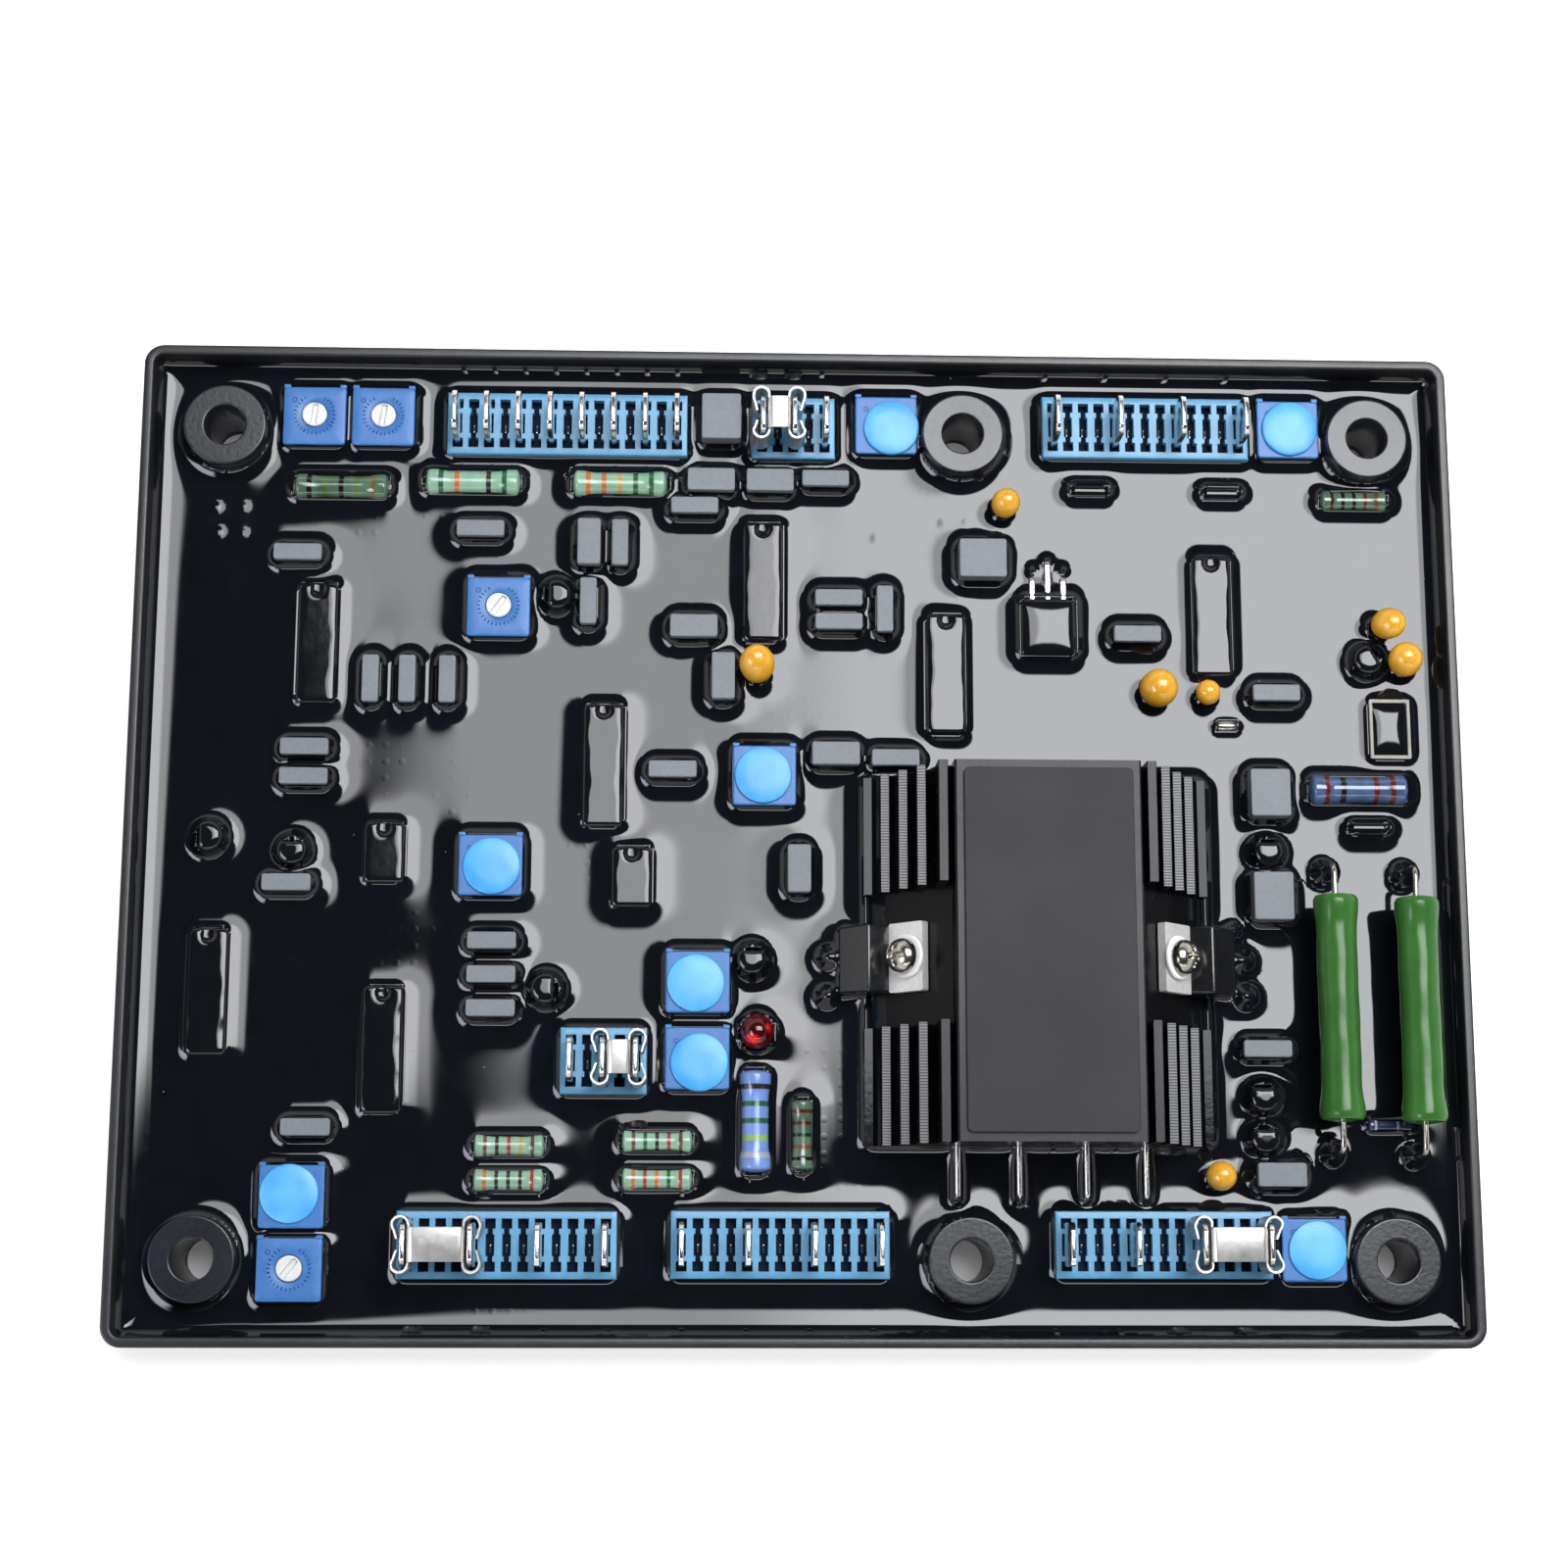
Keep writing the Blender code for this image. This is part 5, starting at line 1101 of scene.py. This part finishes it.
def wirewoundBody():
    # r(u, v) = dog-bone(u) (1 + uneven times two slow waves), with ends drawn in by a round arc
    u = np.linspace(-1, 1, 61)
    thin, wide = wirewound["waist"], wirewound["radius"]
    swell = thin + (wide - thin) / (1 + np.exp(-(np.abs(u) - 0.8) * 25))
    endRound = np.sqrt(np.clip(1 - np.clip((np.abs(u) - 0.92) / 0.084, 0, 1) ** 2.2, 0, 1))
    radius = swell * (0.28 + 0.72 * endRound) * (np.abs(u) < 0.999)
    points, faces, _ = spun(np.c_[radius, u * wirewound["half"]], 36)
    angle, z = np.arctan2(points[:, 1], points[:, 0]), points[:, 2]
    waves = np.sin(z * 0.9 + 2 * angle) + np.sin(z * 0.37 - angle * 3 + 1)
    points[:, :2] *= (1 + wirewound["uneven"] * waves)[:, None]
    return points, faces, None


def makeWirewounds():
    # a body laid along Y at each CAD node, with a wire bent down past both ends
    axis = wirewound["axis"]
    for number in (1, 2):
        node = f"wirewound_resistor_{number}"
        x, y = middle(node)[:2]
        body = placed(wirewoundBody(), (x, y, axis), x=90)
        makePiece(f"wirewound{number}", [body], "vitreousGreen", node)
        wires = []
        for side in (-1, 1):
            near, far = y + side * wirewound["leadFrom"], y + side * (wirewound["half"] + wirewound["reach"])
            route = bentPath([(x, near, axis), (x, far, axis), (x, far, level["board"])], wirewound["bend"])
            wires.append(tube(route, wirewound["lead"] / 2, (1, 0, 0), 12))
        makePiece(f"wirewoundLeads{number}", wires, "platedSteel", node)


makeWirewounds()
print("wirewound resistors made")


# Small regulator lying flat, lamp and tantalum drops; leads: how far each one reaches back, mounds:
# where the resin rises over its end
regulator = {"place": (38.2, 33.0), "width": 9.2, "long": 9.8, "top": 11.5, "leadHigh": 10.7, "pitch": 2.4,
             "leads": (2.8, 5.4, 2.8), "mounds": (9.0, 10.4, 9.0), "leadRadius": 0.34, "leadFlat": 1.5}
lamp = {"place": (-6.2, -29.3), "radius": 2.5, "flange": 2.9, "flangeHigh": 1.0, "high": 8.6,
        "cup": ((0, 1.5), (1.2, 1.5), (1.5, 4.6), (0.6, 4.0), (0, 3.9))}
# place, width and lean of each tantalum drop; then the height of a ball's middle, and the share of
# the outline's points that lie below the ball
drops = {
    1: ((-6.4, 26.2), 5.4, (-0.2, 1.4)), 2: ((31.6, 51.8), 4.4, (0.4, 0.8)),
    3: ((54.5, 23.0), 5.8, (0.4, 0.3)), 4: ((62.0, 22.4), 3.8, (0.0, 0.2)),
    5: ((90.0, 33.4), 4.8, (1.6, 0.0)), 6: ((92.4, 27.8), 5.2, (0.2, 0.6)),
    7: ((62.0, -50.2), 4.4, (0.4, 0.0))}
dropHigh, dropNeck = 6.3, 0.36


def makeRegulator():
    # the cushion below as its case, and three tubes widened in X and bent down
    halfX, halfY, top = regulator["width"] / 2, regulator["long"] / 2, regulator["top"]

    def height(u, v):
        # a cushion: z = top - 0.6 (u^4 + v^4)^0.6 - 0.9 max(u, v)^14, u and v from -1 to 1
        u, v = np.abs(u) / halfX, np.abs(v) / halfY
        return top - 0.6 * (u**4 + v**4) ** 0.6 - 0.9 * np.maximum(u, v) ** 14

    lines = np.sin(np.linspace(-np.pi / 2, np.pi / 2, 33))
    case = reliefBlock(lines * halfX, lines * halfY, height, level["stand"])
    makePiece("regulatorCase", [placed(case, regulator["place"])], "coatedBlack", "small_regulator",
              sharp=60)
    x, y = regulator["place"]
    leads = []
    for index, long in zip((-1, 0, 1), regulator["leads"]):
        high, end = regulator["leadHigh"], halfY + long
        route = bentPath([(0, halfY - 0.5, high), (0, end, high), (0, end, level["stand"])], 0.6)
        points, faces, _ = tube(route, regulator["leadRadius"], (1, 0, 0), 8)
        points[:, 0] *= regulator["leadFlat"]
        leads.append(placed((points, faces, None), (x + index * regulator["pitch"], y)))
    makePiece("regulatorLeads", leads, "tinned", "small_regulator")


def makeLamp():
    # dome: radius R cos t, z = high - R (1 - sin t), above a flange
    t = np.linspace(0, np.pi / 2, 10)
    radius, flange, shelf = lamp["radius"], lamp["flange"], lamp["flangeHigh"]
    dome = np.c_[radius * np.cos(t), lamp["high"] - radius * (1 - np.sin(t))]
    profile = np.vstack([[(0, 0), (flange, 0), (flange, shelf), (radius, shelf + 0.05)], dome])
    place = (*lamp["place"], level["stand"])
    makePiece("lampLens", [placed(spun(profile, 40), place)], "lampRed", "indicator_lamp")
    makePiece("lampCup", [placed(spun(lamp["cup"], 20), place)], "tinned", "indicator_lamp")


def dropSurface(radius, lean):
    # r(t) = radius times the larger of a ball over t > dropNeck and a wavy neck below its middle;
    # the whole leans in proportion to height^1.2
    t = np.linspace(0, 1, 34)
    waist = (1 + dropNeck) / 2
    ball = np.sqrt(np.clip(1 - ((t - waist) / (1 - waist)) ** 2, 0, 1))
    neck = np.where(t < waist, 0.42 + 0.05 * np.cos(t * 9), 0)
    z = np.interp(t, (0, dropNeck, 1), (0, dropHigh - radius, dropHigh + radius))
    points, faces, _ = spun(np.c_[radius * np.maximum(ball, neck), z], 28)
    share = np.clip(points[:, 2:] / dropHigh, 0, 1.4) ** 1.2
    points[:, :2] += (share - 1) * np.array(lean)
    return points, faces, None


def makeDrops():
    # one leaning drop for each CAD node
    for number, (spot, wide, lean) in drops.items():
        surface = placed(dropSurface(wide / 2, lean), (*spot, level["stand"]))
        makePiece(f"drop{number}", [surface], "amberDip", f"tantalum_capacitor_{number}", sharp=60)


makeRegulator()
makeLamp()
makeDrops()
print("small parts made")


# Resin skin: flat, rising to each thing that stands through it
skin = {
    "step": 0.54, "power": 2.0, "ridge": -0.2, "corner": 1.5, "bossCut": 5.2, "overlap": 0.3,
    # how high the resin climbs at each kind of thing, and how far it reaches out
    "climb": {"films": (2.0, 1.05), "chips": (0.68, 1.3), "cases": (2.7, 0.72), "axials": (1.1, 1.1),
              "diodes": (0.95, 1.1), "stub": (0.4, 0.7), "trimmers": (1.3, 1.1), "strips": (1.2, 1.1),
              "bosses": (1.4, 1.3), "moduleLeads": (1.5, 0.9), "sink": (1.5, 1.4), "devices": (1.2, 1.1),
              "regulator": (1.2, 1.2), "regulatorLeads": (0.5, 0.8), "lamp": (1.2, 1.1),
              "drops": (0.9, 1.0), "wall": (1.5, 1.3)},
    # bumps over solder joints and buried leads: x, y, height, width
    "bumps": [
        (-89.2, 50.7, 0.22, 0.75), (-85, 50.8, 0.16, 0.7), (-88.7, 46.8, 0.2, 0.75), (-85, 46.7, 0.12, 0.7),
        (86.9, 45.9, 0.1, 0.8), (90.7, 45.8, 0.1, 0.8), (86.5, 42.4, 0.1, 0.8), (90.6, 42.3, 0.1, 0.8),
        (75.4, 38.9, 0.09, 0.8), (79.9, 38.8, 0.09, 0.8), (75.6, 35.0, 0.09, 0.8), (79.7, 35.3, 0.09, 0.8),
        (22.4, 49.6, 0.07, 0.7), (26.0, 49.8, 0.06, 0.7), (12.0, 47.0, 0.06, 0.7),
        (55.0, 44.8, 0.06, 1.0), (52.0, 17.0, -0.05, 0.5), (4.4, -18.0, 1.9, 1.7), (4.2, -23.8, 1.9, 1.7),
        (66.6, -18.2, 1.9, 1.7), (67.0, -23.6, 2.1, 1.8), (65.6, -13.6, 1.1, 1.2), (38.2, 40.2, 0.55, 2.6)],
    # height and width of the solder at each wirewound resistor's lead
    "solder": (2.1, 1.5),
    # footprints where the resin meets something other than the whole part, and how far out they lie
    "foot": {"cases": 2.2, "diodes": (6.6, 2.3), "stub": (4.0, 1.6), "moduleLeads": (0.9, 8.0),
             "sink": (51.5, 55.0), "devices": (5.4, 10.2), "regulatorLeads": 0.5},
    "leadsOut": 4.0, "devicesOut": 27.0,
    # margins off the tray's outline and corners, for the climb at the wall and for the skin's edge
    "wallLine": (3.0, 1.5), "wallInside": -0.4, "edgeLine": (2.2, 2.0),
}


def boxDistance(x, y, place, size, turn=0, corner=0.3):
    # distance outside a rectangle with round corners
    a = math.radians(turn)
    u = (x - place[0]) * math.cos(a) + (y - place[1]) * math.sin(a)
    v = -(x - place[0]) * math.sin(a) + (y - place[1]) * math.cos(a)
    du, dv = np.abs(u) - size[0] / 2 + corner, np.abs(v) - size[1] / 2 + corner
    return np.hypot(np.maximum(du, 0), np.maximum(dv, 0)) + np.minimum(np.maximum(du, dv), 0) - corner


def trayDistance(x, y, margin, corner):
    # distance outside the tray's outline less a margin
    return boxDistance(x, y, (0, 0), (tray["length"] - margin, tray["width"] - margin), 0, corner)


def standingThings():
    # place, size and turn of each thing by kind, where a round thing's size is its radius
    foot, (x, y) = skin["foot"], regulator["place"]
    groups = {
        "films": [((x, y), kind["size"], turn) for kind in films.values() for x, y, turn in kind["places"]],
        "chips": [(place, (chips["width"], chips[kind]["length"]), 0) for kind in ("long", "short")
                  for place in chips[kind]["places"]],
        "cases": [((x, y), foot["cases"], 0) for x, y, _ in smallCases["places"]],
        "axials": [((x, y), (kind["size"][1] + 1.0, kind["size"][0] - 0.5), turn)
                   for kind in axials.values() for x, y, turn, _ in kind["places"]],
        "diodes": [(place, foot["diodes"], 0) for place in diodes["places"]],
        "stub": [(strayStub["place"], foot["stub"], 0)],
        "trimmers": [(middle(f"trimmer_{number}")[:2], (trimmer["side"], trimmer["side"]), 0)
                     for number in (*openTrimmers, *sealedTrimmers)],
        "strips": [(stripCentre(number), extent(f"terminal_strip_{number}")[:2], 0) for number in strips],
        "bosses": [(place, boss["width"] / 2, 0) for place in bossPlaces],
        "moduleLeads": [((sink["x"] + offset, sink["front"] - skin["leadsOut"]), foot["moduleLeads"], 0)
                        for offset in module["leads"]],
        "sink": [((sink["x"], sink["front"] + sink["long"] / 2), foot["sink"], 0)],
        "devices": [((sink["x"] + side * skin["devicesOut"], sink["seatMiddle"]), foot["devices"], 0)
                    for side in (-1, 1)],
        "regulator": [((x, y), (regulator["width"], regulator["long"]), 0)],
        "regulatorLeads": [((x + index * regulator["pitch"], y + away), foot["regulatorLeads"], 0)
                           for index, away in zip((-1, 0, 1), regulator["mounds"])],
        "lamp": [(lamp["place"], lamp["flange"], 0)],
        "drops": [(np.array(spot) - lean, wide * 0.25, 0) for spot, wide, lean in drops.values()],
    }
    return [(*thing, *skin["climb"][kind]) for kind, things in groups.items() for thing in things]


def skinHeight(x, y):
    # z = level + (sum of (h exp(-d / reach))^p)^(1/p) over all things and the wall, plus the bumps,
    # where d grows outwards from a ridge just inside each thing and three times as fast inwards
    total, power = np.zeros_like(x), skin["power"]
    for place, size, turn, high, reach in standingThings():
        if np.ndim(size):
            distance = boxDistance(x, y, place, size, turn, min(skin["corner"], 0.48 * min(size)))
        else:
            distance = np.hypot(x - place[0], y - place[1]) - size
        past = distance - skin["ridge"]
        total += (high * np.exp(-np.where(past > 0, past, -3 * past) / reach)) ** power
    high, reach = skin["climb"]["wall"]
    wall = -trayDistance(x, y, *skin["wallLine"])
    total += (high * np.exp(-np.maximum(wall, skin["wallInside"]) / reach)) ** power
    far = wirewound["half"] + wirewound["reach"]
    ends = [middle(f"wirewound_resistor_{number}")[:2] for number in (1, 2)]
    solder = [(*(end + (0, side * far)), *skin["solder"]) for end in ends for side in (-1, 1)]
    bumps = sum(high * np.exp(-((x - px) ** 2 + (y - py) ** 2) / wide**2)
                for px, py, high, wide in skin["bumps"] + solder)
    return level["resin"] + total ** (1 / power) + bumps


def skinNormals(x, y, e=0.02):
    # (-dz/dx, -dz/dy, 1) by differences over 2 e, made one long
    slopeX = (skinHeight(x + e, y) - skinHeight(x - e, y)) / (2 * e)
    slopeY = (skinHeight(x, y + e) - skinHeight(x, y - e)) / (2 * e)
    normals = np.stack([-slopeX, -slopeY, np.ones_like(x)], -1).reshape(-1, 3)
    return normals / np.linalg.norm(normals, axis=1)[:, None]


def makeSkin():
    # z = skinHeight(x, y) on a grid, inside the wall's outline and outside the bosses
    half = np.array([tray["length"], tray["width"]]) / 2 - tray["wall"] + skin["overlap"]
    x, y = np.meshgrid(*[np.linspace(-side, side, int(2 * side / skin["step"])) for side in half])
    faces = gridFaces(*x.shape)
    centres = np.stack([x.ravel()[faces].mean(1), y.ravel()[faces].mean(1)], -1)
    near = np.min([np.hypot(*(centres - place).T) for place in bossPlaces], axis=0)
    inside = trayDistance(*centres.T, *skin["edgeLine"]) < 0
    used, faces = np.unique(faces[(near > skin["bossCut"]) & inside], return_inverse=True)
    faces = faces.reshape(-1, 4)
    mesh = bpy.data.meshes.new("resinSkin")
    mesh.vertices.add(len(used))
    points = np.stack([x, y, skinHeight(x, y)], -1).reshape(-1, 3) * metre
    mesh.vertices.foreach_set("co", points[used].ravel())
    mesh.loops.add(faces.size)
    mesh.loops.foreach_set("vertex_index", faces.ravel())
    mesh.polygons.add(len(faces))
    mesh.polygons.foreach_set("loop_start", np.arange(0, faces.size, 4))
    mesh.update(calc_edges=True)
    mesh.shade_smooth()
    mesh.normals_split_custom_set_from_vertices(skinNormals(x, y)[used].tolist())
    mesh.materials.append(resinMaterial())
    piece = added("resinSkin", mesh)
    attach(piece, "unit")
    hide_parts("potting_resin")
    print("resin quads:", len(faces))


# Near black and glossy resin, with sparse lint; pads a tenth of an inch apart and slow waves under
# the skin bend its reflections a little
resinLook = {"tone": (11, 13, 17), "second": (16, 19, 25), "scale": 300.0, "rough": 0.045, "spread": 0.03,
             "speck": (120, 122, 126), "speckCells": 300.0, "speckSize": 0.035, "speckShare": 0.16,
             "pitch": 2.54, "pads": 0.02, "waves": 1.6}


def lintMask(tree):
    # a small disc in some of the cells
    cells = addNode(tree, "ShaderNodeTexVoronoi", {
        "Vector": objectSpot(tree), "Scale": resinLook["speckCells"]})
    chance = addNode(tree, "ShaderNodeSeparateColor", {0: cells["Color"]})[0]
    small = calc(tree, "LESS_THAN", cells["Distance"], resinLook["speckSize"])
    return calc(tree, "MULTIPLY", small, calc(tree, "LESS_THAN", chance, resinLook["speckShare"]))


def padRelief(tree):
    # height = pads times a dot in each square of the pitch, in some zones only, plus slow waves
    spot = objectSpot(tree)
    squares = []
    for value in axes(tree, spot)[:2]:
        cell = calc(tree, "FRACT", calc(tree, "DIVIDE", value, resinLook["pitch"] * metre))
        offset = calc(tree, "SUBTRACT", cell, 0.5)
        squares.append(calc(tree, "MULTIPLY", offset, offset))
    dot = spread(tree, calc(tree, "ADD", *squares), 0.055, 0.0, smooth=True)
    zone = spread(tree, noise(tree, spot, 75.0, 2.0), 0.56, 0.62)
    waves = calc(tree, "MULTIPLY", noise(tree, spot, 38.0, 0.0), resinLook["waves"])
    return calc(tree, "MULTIPLY_ADD", calc(tree, "MULTIPLY", dot, zone), resinLook["pads"], waves)


def resinMaterial():
    # two drifting tones, lint on top, and the relief as a bump
    made, tree, shader = newMaterial("resin")
    base = addNode(tree, "ShaderNodeGroup", {
        "Colour": linear(resinLook["tone"]), "Second": linear(resinLook["second"]),
        "Scale": resinLook["scale"], "Rough": resinLook["rough"], "Spread": resinLook["spread"],
    }, node_tree=grain)
    bump = addNode(tree, "ShaderNodeBump", {"Strength": 1.0, "Distance": 0.0001, "Height": padRelief(tree)})
    fill(tree, shader, {
        "Base Color": mixColour(tree, lintMask(tree), base["Colour"], linear(resinLook["speck"])),
        "Roughness": base["Rough"], "Normal": bump[0]})
    return made


makeSkin()
print("resin made")


# Floor, light and world
stageLook = {
    "floor": 3.0, "floorDrop": 0.0002, "floorTone": 0.84, "floorLift": 0.36, "floorFade": (0.3, 1.2),
    # the floor's lift as the camera sees it beside the tray, and its share under the tray, painted shade on
    # the floor seen through the fixing holes
    "floorSeen": 0.62, "holeShadeShare": 0.15,
    # corners of the soft card overhead, in metres, as the resin mirrors it, and its faded border
    "cards": {
        "softCard": {"corners": ((-0.285, 0.56), (-0.100, 0.030), (0.40, 0.022), (0.62, 0.03), (0.62, 0.56)),
                     "high": 1.0, "strength": 12.0, "fade": 0.03, "tone": (0.965, 0.975, 1.0),
                     # the left part is dimmer, between these two x, by this share
                     "dim": (-0.02, 0.085, 0.56)},
        # seen in reflections alone, as pale crescents on the mounds' left sides
        "leftCard": {"corners": ((-1.22, -0.52), (-0.72, -0.84), (-0.46, -0.36), (-0.90, 0.02)),
                     "high": 0.85, "strength": 9.0, "fade": 0.06, "tone": (0.84, 0.85, 1.0),
                     "mirrored": True},
        "frontCard": {"corners": ((-0.60, -1.27), (0.90, -1.27), (0.90, -1.12), (-0.60, -1.12)),
                      "high": 0.85, "strength": 7.0, "fade": 0.03, "tone": (1.0, 1.0, 1.0)},
    },
    # white low down, dark overhead, so that gloss black stays black between lights
    "sky": ((0.0, (1, 1, 1, 1)), (0.40, (0.95, 0.95, 0.96, 1)), (0.62, (0.03, 0.033, 0.04, 1))),
}


def makeFloor():
    # a large white square just below the tray
    half = stageLook["floor"]
    corners = [(-half, -half, 0), (half, -half, 0), (half, half, 0), (-half, half, 0)]
    mesh = bpy.data.meshes.new("floor")
    mesh.from_pydata(corners, [], [(0, 1, 2, 3)])
    floor = added("floor", mesh)
    floor.location.z = -stageLook["floorDrop"]
    made, tree, shader = newMaterial("floorWhite")
    tone = stageLook["floorTone"]
    fill(tree, shader, {"Base Color": (tone, tone, tone, 1), "Roughness": 0.9, "Specular IOR Level": 0.0})
    # the camera sees the floor's own lift rise to white between these two distances
    spot = objectSpot(tree)
    away = addNode(tree, "ShaderNodeVectorMath", {0: spot}, operation="LENGTH")["Value"]
    rising = spread(tree, away, *stageLook["floorFade"], stageLook["floorSeen"], 1.0, smooth=True)
    seen = tree.nodes.new("ShaderNodeLightPath").outputs
    direct = calc(tree, "MULTIPLY", seen["Is Camera Ray"], rising)
    mirrored = calc(tree, "MAXIMUM", seen["Is Glossy Ray"], seen["Is Transmission Ray"])
    lift = calc(tree, "MAXIMUM", direct, calc(tree, "MULTIPLY", mirrored, stageLook["floorLift"]))
    # under the tray the lift falls to a share of itself, as painted shade on the floor seen through the
    # fixing holes
    x, y, _ = axes(tree, spot)
    across = calc(tree, "DIVIDE", calc(tree, "ABSOLUTE", x), tray["length"] / 2 * metre)
    along = calc(tree, "DIVIDE", calc(tree, "ABSOLUTE", y), tray["width"] / 2 * metre)
    outside = spread(tree, calc(tree, "MAXIMUM", across, along), 0.97, 0.985, stageLook["holeShadeShare"])
    glow = addNode(tree, "ShaderNodeEmission", {
        "Color": (1, 1, 1, 1), "Strength": calc(tree, "MULTIPLY", lift, outside)})[0]
    both = addNode(tree, "ShaderNodeAddShader", {0: tree.nodes["Principled BSDF"].outputs[0], 1: glow})
    fill(tree, tree.nodes["Material Output"].inputs, {"Surface": both[0]})
    mesh.materials.append(made)


def makeCard(name, look):
    # the glow falls from 1 inside to 0 over a border; both rings stand off the corners' outline
    corners = np.array(look["corners"])
    count, fade = len(corners), look["fade"]
    sides = (corners - np.roll(corners, 1, 0), np.roll(corners, -1, 0) - corners)
    before, after = [np.c_[side[:, 1], -side[:, 0]] / np.linalg.norm(side, axis=1)[:, None] for side in sides]
    mitre = (before + after) / (1 + (before * after).sum(1))[:, None]
    points = atHeight(np.vstack([corners - mitre * fade, corners + mitre * fade]), look["high"])
    border = gridFaces(2, count, wrap=True)[:, ::-1].tolist()
    mesh = bpy.data.meshes.new(name)
    mesh.from_pydata(points.tolist(), [], [list(range(count))[::-1], *border])
    glowing = mesh.attributes.new("glow", "FLOAT", "POINT")
    glowing.data.foreach_set("value", np.repeat([1.0, 0.0], count))
    card = added(name, mesh)
    made, tree, _ = newMaterial(name + "Light")
    tree.nodes.remove(tree.nodes["Principled BSDF"])
    layer = addNode(tree, "ShaderNodeAttribute", {}, attribute_name="glow")["Fac"]
    soft = spread(tree, layer, 0.0, 1.0, 0.0, look["strength"], smooth=True)
    if "dim" in look:
        part = spread(tree, axes(tree, objectSpot(tree))[0], *look["dim"], smooth=True)
        soft = calc(tree, "MULTIPLY", soft, part)
    glow = addNode(tree, "ShaderNodeEmission", {"Color": (*look["tone"], 1), "Strength": soft})[0]
    fill(tree, tree.nodes["Material Output"].inputs, {"Surface": glow})
    mesh.materials.append(made)
    card.visible_camera = card.visible_shadow = False
    card.visible_diffuse = not look.get("mirrored", False)


def makeWorld():
    # the sky's tone follows the height of the direction
    world = bpy.data.worlds.new("studio")
    bpy.context.scene.world = world
    world.use_nodes = True
    tree = world.node_tree
    direction = tree.nodes.new("ShaderNodeTexCoord").outputs["Generated"]
    ramp = tree.nodes.new("ShaderNodeValToRGB")
    fill(tree, ramp.inputs, {0: axes(tree, direction)[2]})
    stops = ramp.color_ramp.elements
    stops.new(0.5)
    for stop, (place, tone) in zip(stops, stageLook["sky"]):
        stop.position, stop.color = place, tone
    fill(tree, tree.nodes["Background"].inputs, {"Color": ramp.outputs[0], "Strength": 1.0})


makeFloor()
for name, look in stageLook["cards"].items():
    makeCard(name, look)
makeWorld()
bpy.context.scene.view_settings.view_transform = "Standard"
print("stage set")
